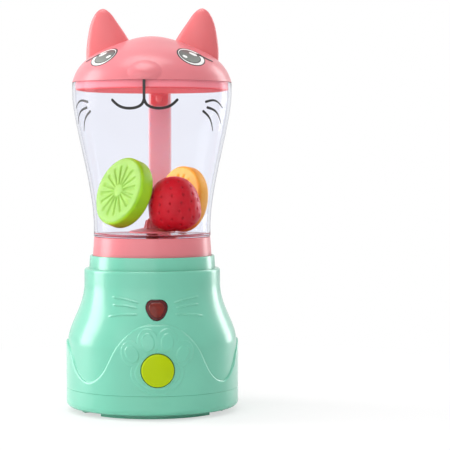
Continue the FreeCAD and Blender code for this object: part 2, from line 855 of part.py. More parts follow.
def make_motor():
    low = plate_z - motor_l
    nose = rod(motor_nose_r, plate_z, plate_z + motor_nose_h)
    tail = rod(motor_nose_r, low - motor_tail, low)
    tab_y = (motor_tab_y - motor_tab_t / 2, motor_tab_y + motor_tab_t / 2)
    tabs = [
        block((x - motor_tab_w / 2, x + motor_tab_w / 2), tab_y, (low - motor_tab_l, low))
        for x in (-motor_tab_x, motor_tab_x)
    ]
    motor = motor_can(low).fuse([nose, tail] + tabs).removeSplitter()
    motor = motor.cut(rod(motor_shaft_r + run_gap, 0, shoulder_z))
    return moved(motor, motor_x, motor_y)


def make_gear_plate():
    plate = rod(plate_r, plate_z, plate_top, 0, plate_y)
    cup = rod(motor_r + cup_wall, plate_z - cup_depth, plate_z, motor_x, motor_y)
    plate = plate.fuse(cup).removeSplitter()
    can = motor_can(plate_z - cup_depth)
    cuts = [moved(can, motor_x, motor_y), rod(motor_nose_r, 0, plate_top, motor_x, motor_y)]
    cuts.append(rod(bush_r, 0, plate_top))
    cuts.append(rod(idler_pin_r, 0, plate_top, idler_x, idler_y))
    cuts += [rod(screw_r + loose_gap, 0, plate_top, x, y) for x, y in plate_posts]
    slot_y = (wire_slot_y - wire_slot_d / 2, wire_slot_y + wire_slot_d / 2)
    cuts.append(block((-wire_slot_w / 2, wire_slot_w / 2), slot_y, (0, plate_top)))
    return plate.cut(cuts)


def make_gear_plate_screws():
    tip = plate_top + boss_bite - tip_space
    return [screw_up(x, y, plate_z, tip) for x, y in plate_posts]


def make_drive_bush_lower():
    body = rod(bush_r, plate_z, plate_top).fuse(rod(bush_r + bush_flange, plate_top, bush_top_lower))
    return body.removeSplitter().cut(rod(shaft_r + run_gap, 0, shoulder_z))


def make_drive_bush_upper():
    return tube(bush_r, shaft_r + run_gap, deck_boss_low, deck_z + bush_rim)


def dog_lugs(low, high, first):
    """The blunt teeth of one half of the coupling."""
    sector = Part.makeCylinder(dog_r, high - low, Vector(0, 0, low), UP, dog_angle)
    sector = sector.cut(rod(dog_r - dog_lug_w, low, high))
    return ring_of(sector, dog_count, first - dog_angle / 2)


def make_drive_dog():
    disc = rod(dog_r, dog_z, dog_top).fuse(rod(shaft_r + dog_hub_wall, dog_top, dog_top + dog_hub_h))
    dog = disc.fuse(dog_lugs(dog_top, dog_top + dog_lug, 0)).removeSplitter()
    return dog.cut(rod(shaft_r, 0, drive_shaft_top))


def make_drive_shaft():
    return rod(shaft_r, plate_z - shaft_end, drive_shaft_top)


def make_driven_dog():
    disc = rod(dog_r, driven_low, driven_top)
    hub = rod(shaft_r + dog_hub_wall, driven_top, agitator_bush_low - loose_gap)
    between = 180.0 / dog_count
    lugs = dog_lugs(driven_low - dog_lug, driven_low, between)
    dog = disc.fuse([hub] + lugs).removeSplitter()
    return dog.cut(rod(shaft_r, driven_low + dog_bore, jar_z))


def make_agitator_shaft():
    return rod(shaft_r, driven_low + dog_bore, agitator_shaft_top)


def make_agitator_bush():
    return tube(bush_r, shaft_r + run_gap, agitator_bush_low, agitator_bush_top)


def make_agitator():
    low = agitator_bush_top + loose_gap
    top = jar_floor + column_h
    core_top_r = column_top_r - column_rib_proud
    outline = Outline(0, low)
    outline.line(hub_r, low)
    outline.line(hub_r, low + hub_edge)
    outline.line(column_low_r + column_rib_proud, low + hub_h)
    outline.line(column_low_r - column_rib_proud, low + hub_h)
    outline.line(core_top_r, top - column_round)
    outline.quarter(core_top_r - column_round, top)
    outline.line(0, top)
    agitator = outline.turned()
    rib = Outline(0, low)
    rib.line(column_low_r, low)
    rib.line(column_low_r, low + hub_h)
    rib.line(column_top_r, top - column_rib_end)
    rib.line(0, top - column_rib_end)
    blade = rib.face().extrude(BACK * column_rib_t)
    blade.translate(BACK * -column_rib_t / 2)
    agitator = agitator.fuse(ring_of(blade, column_ribs)).removeSplitter()
    return agitator.cut(rod(shaft_r, 0, agitator_shaft_top))


# ---------------------------------------------------------------- jar
def jar_core(offset):
    """Everything inside the outer face of the jar, moved outwards by an offset."""
    outline = Outline(0, jar_z)
    outline.line(jar_foot_r + offset, jar_z)
    outline.line(jar_foot_r + offset, jar_z + jar_foot_h)
    outline.bezier(jar_foot_pull, jar_rim_pull, jar_rim_r + offset, jar_top - jar_straight)
    outline.line(jar_rim_r + offset, jar_top)
    outline.line(0, jar_top)
    return outline.turned()


def make_jar():
    outline = Outline(0, jar_z)
    outline.line(jar_foot_r - jar_foot_round, jar_z)
    outline.quarter(jar_foot_r, jar_z + jar_foot_round, upright=False)
    outline.line(jar_foot_r, jar_z + jar_foot_h)
    outline.bezier(jar_foot_pull, jar_rim_pull, jar_rim_r, jar_top - jar_straight)
    outline.line(jar_rim_r, jar_top)
    outline.line(jar_rim_r - jar_wall, jar_top)
    outline.line(jar_rim_r - jar_wall, jar_top - jar_straight)
    outline.bezier(jar_rim_pull, jar_foot_pull, jar_foot_r - jar_wall, jar_z + jar_foot_h)
    outline.line(jar_foot_r - jar_wall, jar_floor)
    outline.line(0, jar_floor)
    jar = outline.turned()
    bosses = ring_of(rod(small_boss_r, jar_boss_low, jar_z, jar_screw_r), lug_count, jar_boss_at)
    jar = jar.fuse(bosses).removeSplitter()
    cuts = ring_of(rod(screw_r, jar_boss_low, jar_z - jar_boss_roof, jar_screw_r), lug_count, jar_boss_at)
    cuts.append(rod(bush_r + fit_gap, 0, jar_floor))
    cuts.append(spun(rod_out(handle_peg_r + fit_gap, 0, 2 * jar_rim_r, handle_peg_z), handle_at))
    return spun(jar.cut(cuts), jar_turn)


def make_jar_base():
    top_r = collar_r - collar_draft
    outline = Outline(collar_r - collar_wall, collar_z)
    outline.line(collar_r, collar_z)
    outline.line(collar_r, ring_top)
    outline.line(top_r, jar_z)
    outline.line(0, jar_z)
    outline.line(0, jar_z - collar_plate)
    outline.line(top_r - collar_wall, jar_z - collar_plate)
    collar = outline.turned()
    cup_hole_r = small_boss_r + fit_gap
    cup = rod(cup_hole_r + cup_wall, jar_cup_low, jar_z - collar_plate, jar_screw_r)
    cups = ring_of(cup, lug_count, jar_boss_at)
    cups.append(rod(bush_r + boss_wall, agitator_bush_low, jar_z - collar_plate))
    collar = collar.fuse(cups).removeSplitter()
    hole = rod(cup_hole_r, jar_boss_low - fit_gap, jar_z, jar_screw_r)
    hole = hole.fuse(rod(screw_r + loose_gap, jar_cup_low, jar_z, jar_screw_r))
    cuts = ring_of(hole, lug_count, jar_boss_at)
    cuts.append(rod(bush_r, 0, jar_z))
    cuts.append(spun(rod_out(screw_r + loose_gap, 0, 2 * collar_r, handle_screw_z), handle_at))
    return spun(collar.cut(cuts), jar_turn)


def make_jar_base_screws():
    screw = screw_up(jar_screw_r, 0, jar_cup_low, jar_z - jar_boss_roof - tip_space)
    return ring_of(screw, lug_count, jar_boss_at + jar_turn)


def collar_core(offset):
    """Everything inside the outer face of the collar, moved outwards by an offset."""
    outline = Outline(0, collar_z)
    outline.line(collar_r + offset, collar_z)
    outline.line(collar_r + offset, ring_top)
    outline.line(collar_r - collar_draft + offset, jar_z)
    outline.line(0, jar_z)
    return outline.turned()


def make_jar_handle():
    inner = handle_out - handle_t
    top = jar_z + handle_top
    low = jar_z + handle_low
    inner_bend = handle_bend - handle_low_root
    outline = Outline(jar_in, low)
    outline.line(handle_out - handle_bend, low)
    outline.quarter(handle_out, low + handle_bend, upright=False)
    outline.line(handle_out, top - handle_t)
    outline.quarter(inner, top)
    outline.line(inner, low + handle_bend)
    outline.quarter(inner - inner_bend, low + handle_low_root)
    outline.line(jar_in, low + handle_low_root)
    bar = outline.face().extrude(BACK * handle_w)
    bar.translate(BACK * -handle_w / 2)
    long_edges = [edge for edge in bar.Edges if abs(edge.BoundBox.YLength) < 1e-6]
    bar = bar.makeFillet(handle_round, long_edges).cut(collar_core(loose_gap))
    root_low = top - handle_root_h
    root_side = (-handle_root_w / 2, handle_root_w / 2)
    root = block((jar_foot_r, inner + handle_root_in), root_side, (root_low, top - handle_root_down))
    low_edges = [edge for edge in root.Edges if edge.BoundBox.XLength > 1 and edge.BoundBox.ZMax < top - handle_t]
    root = root.makeFillet(handle_root_h / 3, low_edges).cut(jar_core(loose_gap))
    peg = rod_out(handle_peg_r, jar_rim_r - jar_wall - handle_peg_in, inner, handle_peg_z)
    handle = bar.fuse([root, peg]).removeSplitter()
    pilot = rod_out(screw_r, 0, collar_r + boss_bite, handle_screw_z)
    return spun(handle.cut(pilot), handle_at + jar_turn)


def make_handle_screw():
    drafted = collar_r - collar_draft - collar_wall
    seat = math.sqrt(drafted ** 2 - head_r ** 2)
    head = rod_out(head_r, seat - head_h, seat, handle_screw_z)
    shank = rod_out(screw_r, seat, collar_r + boss_bite - tip_space, handle_screw_z)
    return spun(head.fuse(shank), handle_at + jar_turn)


# ---------------------------------------------------------------- lid
def dome(rim_r, height, low):
    """The solid of revolution under the dome curve."""
    outline = Outline(rim_r, low)
    points = [(rim_r * r, low + height * h) for r, h in dome_shape[1:]]
    outline.spline(points, (-0.3, 1.0), (-1.0, 0.0))
    outline.line(0, low)
    return outline.turned()


def make_lid_shell():
    outer = dome(jar_rim_r, dome_h, lid_z)
    inner = dome(jar_rim_r - lid_wall, dome_h - lid_wall, lid_z)
    snout = Part.makeSphere(1.0)
    matrix = FreeCAD.Matrix()
    matrix.scale(snout_w / 2, snout_d / 2, snout_h / 2)
    snout = snout.transformGeometry(matrix)
    snout.translate(Vector(0, -jar_rim_r + snout_d / 2 - snout_sunk, lid_z + snout_up))
    above = (lid_z + snout_low, lid_z + dome_h)
    snout = snout.common(block((-snout_w, snout_w), (-2 * jar_rim_r, 0), above))
    shell = outer.fuse(snout).cut(inner)
    for side in (-1, 1):
        for x in (ear_peg_near, ear_peg_far):
            shell = shell.cut(rod(ear_peg_r + fit_gap, lid_z, lid_z + ear_tip, side * x, ear_back))
    return spun(shell, jar_turn)


def make_lid_liner():
    outer = jar_rim_r - jar_wall - slide_gap
    step = outer - liner_step
    outline = Outline(0, liner_z)
    outline.line(outer - liner_round, liner_z)
    outline.quarter(outer, liner_z + liner_round, upright=False)
    outline.line(outer, lid_z)
    outline.line(step, lid_z)
    outline.line(step, lid_z + liner_top)
    outline.line(step - liner_wall, lid_z + liner_top)
    outline.line(step - liner_wall, liner_z + liner_wall)
    outline.line(0, liner_z + liner_wall)
    return spun(outline.turned(), jar_turn)


def make_ear(side):
    sections = []
    for height, centre, half_w, half_d in ear_levels:
        middle = Vector(side * centre * ear_tip, ear_back, lid_z + height * ear_tip)
        ring = Part.Ellipse(middle, half_w * ear_tip, half_d * ear_tip)
        sections.append(Part.Wire([ring.toShape()]))
    tip = Part.Vertex(Vector(side * ear_levels[-1][1] * ear_tip, ear_back, lid_z + ear_tip))
    ear = Part.makeLoft(sections + [tip], True)
    ear = ear.cut(dome(jar_rim_r, dome_h, lid_z))
    inset = lid_wall + ear_peg_l
    inside = dome(jar_rim_r - inset, dome_h - inset, lid_z)
    rooted = dome(jar_rim_r + lid_wall, dome_h + lid_wall, lid_z)
    places = (ear_peg_near, ear_peg_far)
    pegs = [rod(ear_peg_r, lid_z, lid_z + ear_tip, side * x, ear_back) for x in places]
    pegs = [peg.common(rooted).cut(inside) for peg in pegs]
    return spun(ear.fuse(pegs).removeSplitter(), jar_turn)


# ---------------------------------------------------------------- play fruit
def slice_blank(radius, thickness, rounding):
    """A thick disc about the origin with rounded edges."""
    outline = Outline(0, -thickness / 2)
    outline.line(radius - rounding, -thickness / 2)
    outline.quarter(radius, -thickness / 2 + rounding, upright=False)
    outline.line(radius, thickness / 2 - rounding)
    outline.quarter(radius - rounding, thickness / 2)
    outline.line(0, thickness / 2)
    return outline.turned()


def pressed_rays(radius, thickness, count):
    """Narrow drops that spread from the middle, as deep pockets for both faces of a slice."""
    near, far = ray_near * radius, ray_far * radius
    near_w, far_w = ray_near_w * radius, ray_far_w * radius
    low = thickness / 2 - ray_depth
    corners = [Vector(far, far_w, low), Vector(near, near_w, low), Vector(near, -near_w, low), Vector(far, -far_w, low)]
    sides = [Part.LineSegment(a, b).toShape() for a, b in zip(corners, corners[1:])]
    end = Part.Arc(corners[-1], Vector(far + far_w, 0, low), corners[0]).toShape()
    pocket = Part.Face(Part.Wire(sides + [end])).extrude(UP * thickness)
    other = pocket.copy()
    other.rotate(Vector(), Vector(1, 0, 0), 180)
    return ring_of(pocket, count) + ring_of(other, count)


def in_jar(place):
    """A point given in shares of the inner radius of the jar's foot, from the middle of its floor."""
    return place * jar_in + UP * jar_floor


def make_lime_slice():
    radius, thickness = lime_size * jar_in, lime_t_size * jar_in
    blank = slice_blank(radius, thickness, lime_round).cut(pressed_rays(radius, thickness, lime_rays))
    return facing(blank, lime_facing, in_jar(lime_place))


def make_orange_slice():
    radius, thickness = orange_size * jar_in, orange_t_size * jar_in
    blank = slice_blank(radius, thickness, orange_round).cut(pressed_rays(radius, thickness, orange_rays))
    return facing(blank, orange_facing, in_jar(orange_place))


def make_strawberry():
    height = berry_size * jar_in
    outline = Outline(0, 0)
    outline.spline([(r * height, h * height) for r, h in berry_shape[1:]], (1, 0), (-1, 0))
    berry = outline.turned()
    lean = Vector(-math.sin(math.radians(berry_lean)), 0, math.cos(math.radians(berry_lean)))
    return facing(berry, lean, in_jar(berry_place))


# ---------------------------------------------------------------- button, electrics
def make_button_cap():
    back = guide_end - seat_gap - button_skin
    edge = skirt_r + button_proud - back
    crown = edge + button_round
    skirt = edge - button_skin
    spring_seat_r = spring_r + spring_wire + button_skin
    outline = Outline(0, 0)
    outline.line(spring_seat_r, 0)
    outline.line(spring_seat_r, skirt)
    outline.line(button_r - button_skin, skirt)
    outline.line(button_r - button_skin, 0)
    outline.line(button_r + button_flange, 0)
    outline.line(button_r + button_flange, button_skin)
    outline.line(button_r, button_skin)
    outline.line(button_r, edge)
    outline.quarter(button_r - button_round, crown)
    outline.spline([(0, crown + button_dome)], (-1.0, 0.35), (-1.0, 0.0))
    stem = rod(stem_r, stem_end - back, 0)
    cap = outline.turned().fuse(stem).removeSplitter()
    return facing(cap, -BACK, Vector(0, -back, button_z))


def make_button_spring():
    front = guide_end - seat_gap - button_skin - spring_wire
    back = board_y + spring_wire
    length = front - back
    helix = Part.makeHelix(length / spring_turns, length, spring_r)
    step = 2 * math.pi / spring_flats
    corner_r = spring_wire * math.sqrt(step / math.sin(step))
    corners = [
        Vector(spring_r + corner_r * math.cos(i * step), 0, corner_r * math.sin(i * step))
        for i in range(spring_flats + 1)
    ]
    coil = Part.Wire(helix.Edges).makePipeShell([Part.makePolygon(corners)], True, True)
    coil.rotate(Vector(), Vector(1, 0, 0), -90)
    coil.translate(Vector(0, -front, button_z))
    return coil


def make_button_switch():
    half = switch_w / 2
    front = -board_y - switch_h
    case = block((-half, half), (front, -board_y), (button_z - half, button_z + half))
    plunger = rod_back(plunger_r, front - plunger_h, front, 0, button_z)
    return case.fuse(plunger).removeSplitter()


def make_circuit_board():
    back = -board_y + board_t
    board = block((-board_w / 2, board_w / 2), (-board_y, back), (board_low, board_top))
    holes = [rod_back(screw_r + fit_gap, -board_y, back, x, z) for x, z in board_screw_at]
    half = chip_w / 2
    chip = block((-half, half), (back, back + chip_h), (chip_z - half, chip_z + half))
    return board.cut(holes).fuse(chip).removeSplitter()


def make_board_screws():
    screws = []
    seat = -board_y + board_t
    for x, z in board_screw_at:
        head = rod_back(head_r, seat, seat + head_h, x, z)
        shank = rod_back(screw_r, -board_y - boss_bite + tip_space, seat, x, z)
        screws.append(head.fuse(shank))
    return screws


def make_led():
    lens_back = side_r(nose_z) - wall - fit_gap - button_skin
    centre = -lens_back + led_space + led_r
    foot = -board_y - 2 * led_leg
    rim = rod_back(led_r + led_rim, foot - 2 * led_rim, foot, 0, nose_z)
    barrel = rod_back(led_r, centre, foot, 0, nose_z)
    tip = Part.makeSphere(led_r, Vector(0, centre, nose_z))
    half = led_leg / 2
    legs = [
        block((x - half, x + half), (foot, -board_y), (nose_z - half, nose_z + half))
        for x in (-led_pitch / 2, led_pitch / 2)
    ]
    return rim.fuse([barrel, tip] + legs).removeSplitter()


def make_speaker():
    low = cover_z + cover_floor
    rim = low + speaker_rim_h
    outline = Outline(0, rim)
    outline.line(speaker_r / 2, rim)
    outline.line(speaker_r - speaker_edge, low)
    outline.line(speaker_r, low)
    outline.line(speaker_r, rim)
    outline.line(speaker_r / 2, low + speaker_h / 2)
    outline.line(speaker_r / 2, low + speaker_h)
    outline.line(0, low + speaker_h)
    return moved(outline.turned(), speaker_x, 0)


def cell_rows():
    first = -(cell_count - 1) / 2
    return [((first + i) * cell_pitch, -1 if i % 2 else 1) for i in range(cell_count)]


def make_battery_cells():
    cells = []
    for x, way in cell_rows():
        end = way * bay_y
        can = (end - way * cell_nub, end - way * (cell_nub + cell_l))
        cell = rod_back(cell_r, min(can), max(can), x, cell_z)
        nub = rod_back(nub_r, min(end, can[0]), max(end, can[0]), x, cell_z)
        cells.append(cell.fuse(nub).removeSplitter())
    return cells


def make_battery_contacts():
    """A bent leaf at the flat end of each cell."""
    low = cell_z - leaf_h / 2
    high = cell_z + leaf_h / 2
    pad_low = cell_z + leaf_h / 10
    pad_high = cell_z + leaf_h * 3 / 10
    leaves = []
    for x, way in cell_rows():
        wall_y = -way * bay_y
        tip_y = wall_y + way * spring_space
        face_y = wall_y + way * leaf_t
        back_y = tip_y - way * leaf_t
        section = [
            (wall_y, low),
            (wall_y, high),
            (face_y, high),
            (face_y, low + 2 * leaf_t),
            (back_y, pad_low),
            (back_y, pad_high),
            (tip_y, pad_high),
            (tip_y, pad_low),
            (face_y, low),
            (wall_y, low),
        ]
        points = [Vector(x - leaf_w / 2, y, z) for y, z in section]
        leaves.append(Part.Face(Part.makePolygon(points)).extrude(Vector(leaf_w, 0, 0)))
    return leaves


def make_battery_door():
    door = pad(door_x, door_y, (cover_z, cover_z + door_t), door_round)
    holes = [rod(screw_r, 0, seam_z, 0, side * door_screw_y) for side in (-1, 1)]
    return door.cut(holes)


def make_door_screws():
    tip = door_boss_top - door_screw_end
    return [
        rod(head_r, cover_z - door_head_h, cover_z, 0, side * door_screw_y)
        .fuse(rod(screw_r, cover_z, tip, 0, side * door_screw_y))
        for side in (-1, 1)
    ]


# ---------------------------------------------------------------- build
save("housing", make_housing())
save("bottom_cover", make_bottom_cover())
save("housing_screws", make_housing_screws())
save("jar_socket", make_jar_socket())
save("socket_screws", make_socket_screws())
save("nose_lens", make_nose_lens())
save("led", make_led())
save("circuit_board", make_circuit_board())
save("board_screws", make_board_screws())
save("button_switch", make_button_switch())
save("speaker", make_speaker())
save("battery_cells", make_battery_cells())
save("battery_contacts", make_battery_contacts())
save("motor", make_motor())
save("gear_plate", make_gear_plate())
save("gear_plate_screws", make_gear_plate_screws())
save("drive_bush_lower", make_drive_bush_lower())
save("drive_bush_upper", make_drive_bush_upper())
save("idler_pin", make_idler_pin())
save("idler_gear", make_idler_gear())
save("motor_pinion", make_motor_pinion())
save("motor_shaft", make_motor_shaft())
save("drive_gear", make_drive_gear())
save("drive_shaft", make_drive_shaft())
save("drive_dog", make_drive_dog())
save("button_cap", make_button_cap())
save("button_spring", make_button_spring())
save("battery_door", make_battery_door())
save("door_screws", make_door_screws())
save("jar", make_jar())
save("jar_base", make_jar_base())
save("jar_base_screws", make_jar_base_screws())
save("jar_handle", make_jar_handle())
save("handle_screw", make_handle_screw())
save("agitator_bush", make_agitator_bush())
save("agitator", make_agitator())
save("agitator_shaft", make_agitator_shaft())
save("driven_dog", make_driven_dog())
save("lid_shell", make_lid_shell())
save("lid_liner", make_lid_liner())
save("ear_left", make_ear(-1))
save("ear_right", make_ear(1))
save("lime_slice", make_lime_slice())
save("strawberry", make_strawberry())
save("orange_slice", make_orange_slice())
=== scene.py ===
import json
import math
from math import cos, pi, radians, sin

import bpy
import numpy as np
from mathutils import Matrix, Vector


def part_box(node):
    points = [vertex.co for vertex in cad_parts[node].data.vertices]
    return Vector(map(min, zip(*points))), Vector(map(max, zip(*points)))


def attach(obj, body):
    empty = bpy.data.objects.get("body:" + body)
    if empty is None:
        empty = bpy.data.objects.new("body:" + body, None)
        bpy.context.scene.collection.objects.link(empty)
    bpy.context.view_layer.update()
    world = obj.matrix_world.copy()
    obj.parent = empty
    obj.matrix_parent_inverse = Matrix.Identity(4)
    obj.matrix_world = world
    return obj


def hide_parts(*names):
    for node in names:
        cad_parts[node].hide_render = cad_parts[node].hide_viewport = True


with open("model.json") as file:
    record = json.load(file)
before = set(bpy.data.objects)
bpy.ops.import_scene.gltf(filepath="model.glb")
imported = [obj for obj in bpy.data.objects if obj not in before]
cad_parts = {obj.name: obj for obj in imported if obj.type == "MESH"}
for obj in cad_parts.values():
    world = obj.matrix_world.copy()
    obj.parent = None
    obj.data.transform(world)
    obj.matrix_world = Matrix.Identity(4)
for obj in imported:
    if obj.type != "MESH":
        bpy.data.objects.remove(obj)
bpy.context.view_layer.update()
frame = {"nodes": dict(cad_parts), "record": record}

# Metres. Origin on the floor under the axis of the base, +Z up, front of the base at -Y.
MM = 0.001
UP = Vector((0, 0, 1))
BACK = Vector((0, 1, 0))

# ---- heights, from the frame
seam_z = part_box("housing")[0].z
shoulder_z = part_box("housing")[1].z
ring_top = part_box("jar_socket")[1].z
collar_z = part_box("jar_base")[0].z
jar_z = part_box("jar_base")[1].z
jar_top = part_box("jar")[1].z
lid_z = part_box("lid_shell")[0].z
liner_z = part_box("lid_liner")[0].z
dome_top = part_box("lid_shell")[1].z

# ---- sizes of the base
wall = 2.2 * MM
fit_gap = 0.1 * MM
body_r = 58.9 * MM
neck_r = 47.4 * MM
hip_z = 47.5 * MM
neck_z = 89.0 * MM
hip_pull = 13.5 * MM
neck_pull = 17.0 * MM
shoulder_round = 1.6 * MM
ring_r = 44.0 * MM
ring_draft = 0.5 * MM
ring_hole_r = 41.9 * MM
ring_round = 0.6 * MM
ring_lead = 0.3 * MM
deck_z = 98.0 * MM

# the wavy step: how far it stands out, and its height in mm against the angle from the front,
# mirrored to both sides and to the back
proud = 1.2 * MM
wave = [(0, 64.2), (16, 60.9), (28, 48.3), (37.5, 31.5), (50, 24.0), (61, 28.5), (74, 41.7), (90, 49.9)]
# its edge, in mm: the height over which it turns in, the share that is left at the crest, and
# the hollow above as rise and share
edge_round = 1.35
edge_share = 0.25
edge_hollow = [(0.06, 0.08), (0.2, 0.01), (0.6, 0.0)]

button_z = 34.1 * MM
button_r = 11.0 * MM
button_hole_r = 11.55 * MM
button_hole_depth = 5 * MM
button_dome = 1.2 * MM
button_round = 1.1 * MM
nose_z = 73.5 * MM
nose_w = 14.6 * MM
nose_h = 13.7 * MM
nose_margin = 0.15 * MM
nose_depth = 1.6 * MM
nose_shape = [(0, 0.5), (0.31, 0.475), (0.493, 0.22), (0.43, -0.13), (0.22, -0.42), (0, -0.5)]
# rings of the lens from its sunk edge to its middle: share of the outline, rise off the housing in mm
nose_rings = [
    (1.0, -1.4), (1.0, -0.35), (0.97, 0.0), (0.93, 0.18), (0.8, 0.2),
    (0.74, 0.28), (0.7, 0.95), (0.66, 1.15), (0.4, 1.3), (0.15, 1.35),
]
# the outer rings of the lens, from its sunk edge over its rim, get a darker red as painted shade round its
# edge
nose_border_rings = 5

# the paw round the button: toes as angle round the base, height, half width, half height and lean,
# and the pad as height and half sizes
toes = [(16.4, 45.2, 4.3, 5.9, -28.0), (6.3, 52.8, 4.3, 6.0, -8.0)]
paw_pad = (32.5, 15.0, 11.2)
paw_border = 3.0 * MM
paw_rise = 0.45 * MM
paw_edge = 0.4 * MM
# below the crest of the step, the paw fades in between these depths
paw_fade = (1 * MM, 2.4 * MM)

# raised whiskers of the base: start and end as angle from the front and height
base_whiskers = [((13.4, 78.1), (37.8, 81.9)), ((14.6, 74.9), (36.3, 76.6)), ((13.9, 70.8), (37.9, 68.8))]
whisker_half = 0.5 * MM
whisker_rise = 0.75 * MM
whisker_bow = 2.8
# shares of its length over which a whisker rises and sinks again
whisker_start = (-0.02, 0.12)
whisker_end = (0.85, 1.03)

# ---- sizes of the jar and the lid
face_turn = -8.8        # the face looks this far round from the front of the base

collar_r = 41.4 * MM
collar_draft = 0.8 * MM
collar_wall = 2.4 * MM
collar_floor = 2 * MM
collar_round = 0.5 * MM
jar_wall = 2.0 * MM
jar_foot_r = 40.7 * MM
jar_rim_r = 55.5 * MM
jar_straight = 7.7 * MM
jar_foot_h = 7.0 * MM
jar_rim_pull = 20.0 * MM
jar_foot_pull = 28.5 * MM
jar_foot_round = 1.2 * MM
jar_rim_round = 0.4 * MM
jar_floor_round = 1.5 * MM
# the seat raised on the collar under the jar, painted a deeper coral as painted shade under the jar's floor
seat_r = jar_foot_r - jar_foot_round - 0.2 * MM
seat_rise = 0.2 * MM
# where painted shade begins: on the handle's root by distance from the axis, on the liner's underside by
# height over its foot
handle_root_shade_reach = (56.6 * MM, 56.8 * MM)
liner_foot_shade_h = (0.4 * MM, 1.4 * MM)

dome_shape = [(1.0, 0.0), (0.964, 0.174), (0.856, 0.435), (0.545, 0.748), (0.0, 1.0)]
lid_wall = 2.0 * MM
snout_w = 23.0 * MM
snout_h = 15.0 * MM
snout_up = 5.4 * MM
snout_rise = 2.5 * MM
snout_fullness = 0.9
# an ear from its foot up, in mm: height over the lid's edge, place to the side, half width, half depth
ear_levels = [
    (10.0, 25.3, 20.5, 8.0), (20.0, 28.5, 17.9, 7.3), (29.0, 30.8, 14.9, 6.5), (37.0, 32.7, 11.7, 5.5),
    (43.3, 34.0, 8.6, 4.3), (48.2, 34.5, 5.5, 3.0), (50.6, 34.7, 2.9, 1.7), (51.7, 34.7, 0.0, 0.0),
]
ear_back = 3.0 * MM

# ---- prints, with how far their ink stands off the surface
ink_lift = 0.09 * MM
mouth_side_lift = 0.11 * MM
lash_lift = 0.2 * MM
eye_lift = 0.05 * MM
ink_step = 0.035 * MM
mouth_w = 1.9 * MM
jar_whisker_w = 1.8 * MM
# angle from the face and height above the foot of the jar
lip = [(0, 93.4), (0, 100.0), (0, 106.6)]
mouth_side = [(0.2, 93.6), (1.4, 91.1), (4.6, 89.0), (9.6, 88.1), (14.6, 88.5), (19.2, 90.3), (23.2, 93.7)]
jar_whiskers = [
    [(46.7, 92.8), (55.0, 93.9), (67.0, 89.0)],
    [(48.6, 89.0), (58.0, 86.6), (68.5, 78.4)],
    [(45.0, 86.4), (52.4, 81.7), (58.0, 73.6)],
]
# eyes: angle from the face and distance up the dome, half sizes, lean
eye_centre = (42.6, 21.2)
eye_half = (10.7, 10.2)
white_centre = (42.7, 20.9)
iris_centre = (41.1, 20.9)
iris_half = (7.7, 7.5)
eye_lean = 43.0
# height over the lid's edge at which the iris is palest and darkest
iris_pale_h = 10 * MM
iris_dark_h = 21 * MM
glints = [((46.2, 22.7), (2.0, 3.0)), ((34.9, 19.3), (1.4, 1.8))]
lash = [(52.0, 22.6), (55.5, 20.2), (59.5, 17.6), (64.0, 15.7)]
lash_w = 2.6 * MM

# ---- sizes of the play fruit
lime_r = 24.5 * MM
lime_t = 11.5 * MM
lime_round = 2.5 * MM
lime_at = Vector((-20.0, -8.2, 151.7)) * MM
lime_facing = (-0.763, -0.558, 0.331)
orange_r = 23.2 * MM
orange_t = 9.0 * MM
orange_round = 2.0 * MM
orange_at = Vector((23.0, 15.5, 146.7)) * MM
orange_facing = (-0.808, -0.578, 0.13)
# rays pressed into both slices, with their ends as shares of the radius
ray_count = 16
ray_half = 0.3 * MM
ray_growth = 0.055
ray_depth = 0.75 * MM
ray_start = (0.14, 0.24)
ray_end = (0.68, 0.78)
flesh_rows = 3
berry_h = 38.0 * MM
berry_at = Vector((16.2, -15.3, 125.4)) * MM
berry_lean = 6.0
berry_shape = [(0.0, 0.0), (0.27, 0.05), (0.44, 0.2), (0.475, 0.42), (0.425, 0.70), (0.25, 0.93), (0.0, 1.0)]
# seed pits of the strawberry; the rows' first place and span are shares of its side
pit_rows = 9
pit_first = 0.16
pit_span = 0.74
pit_pitch = 7.5 * MM
pit_half_w = 0.7 * MM
pit_half_h = 0.95 * MM
pit_reach = 3 * MM
pit_depth = 0.9 * MM
# the pits are painted darker below this depth, as painted shade
pit_shade_depth = 0.35 * MM

# ---- camera, as the photograph was taken
camera_azimuth = -3.3
camera_distance = 1.215
camera_height = 0.1765
camera_pitch = 2.24
camera_heading = 5.7
camera_lens = 138.96
camera_sensor = 36


# ==== curves and meshes
class Profile:
    """A half section, drawn point by point as (radius, height)."""

    def __init__(self, r, z):
        self.points = [(r, z)]

    def line(self, r, z):
        self.points.append((r, z))
        return self

    def quarter(self, r, z, upright=True, steps=6):
        """A quarter round that leaves upright, or else level."""
        r0, z0 = self.points[-1]
        for i in range(1, steps + 1):
            turn = pi / 2 * i / steps
            grow, fade = sin(turn), 1 - cos(turn)
            across, along = (fade, grow) if upright else (grow, fade)
            self.points.append((r0 + (r - r0) * across, z0 + (z - z0) * along))
        return self

    def bezier(self, pull_here, pull_end, r, z, steps):
        """A curve that leaves and arrives upright."""
        r0, z0 = self.points[-1]
        way = math.copysign(1, z - z0)
        stops = np.array([(r0, z0), (r0, z0 + way * pull_here), (r, z - way * pull_end), (r, z)])
        for i in range(1, steps + 1):
            t = i / steps
            weights = np.array([(1 - t) ** 3, 3 * (1 - t) ** 2 * t, 3 * (1 - t) * t ** 2, t ** 3])
            self.points.append(tuple(weights @ stops))
        return self


def hermite(t, span, start, start_slope, end, end_slope):
    """A cubic from start to end with given slopes, at a share t of the span."""
    return (
        (1 + 2 * t) * (1 - t) ** 2 * start + t * (1 - t) ** 2 * span * start_slope
        + t ** 2 * (3 - 2 * t) * end + t ** 2 * (t - 1) * span * end_slope
    )


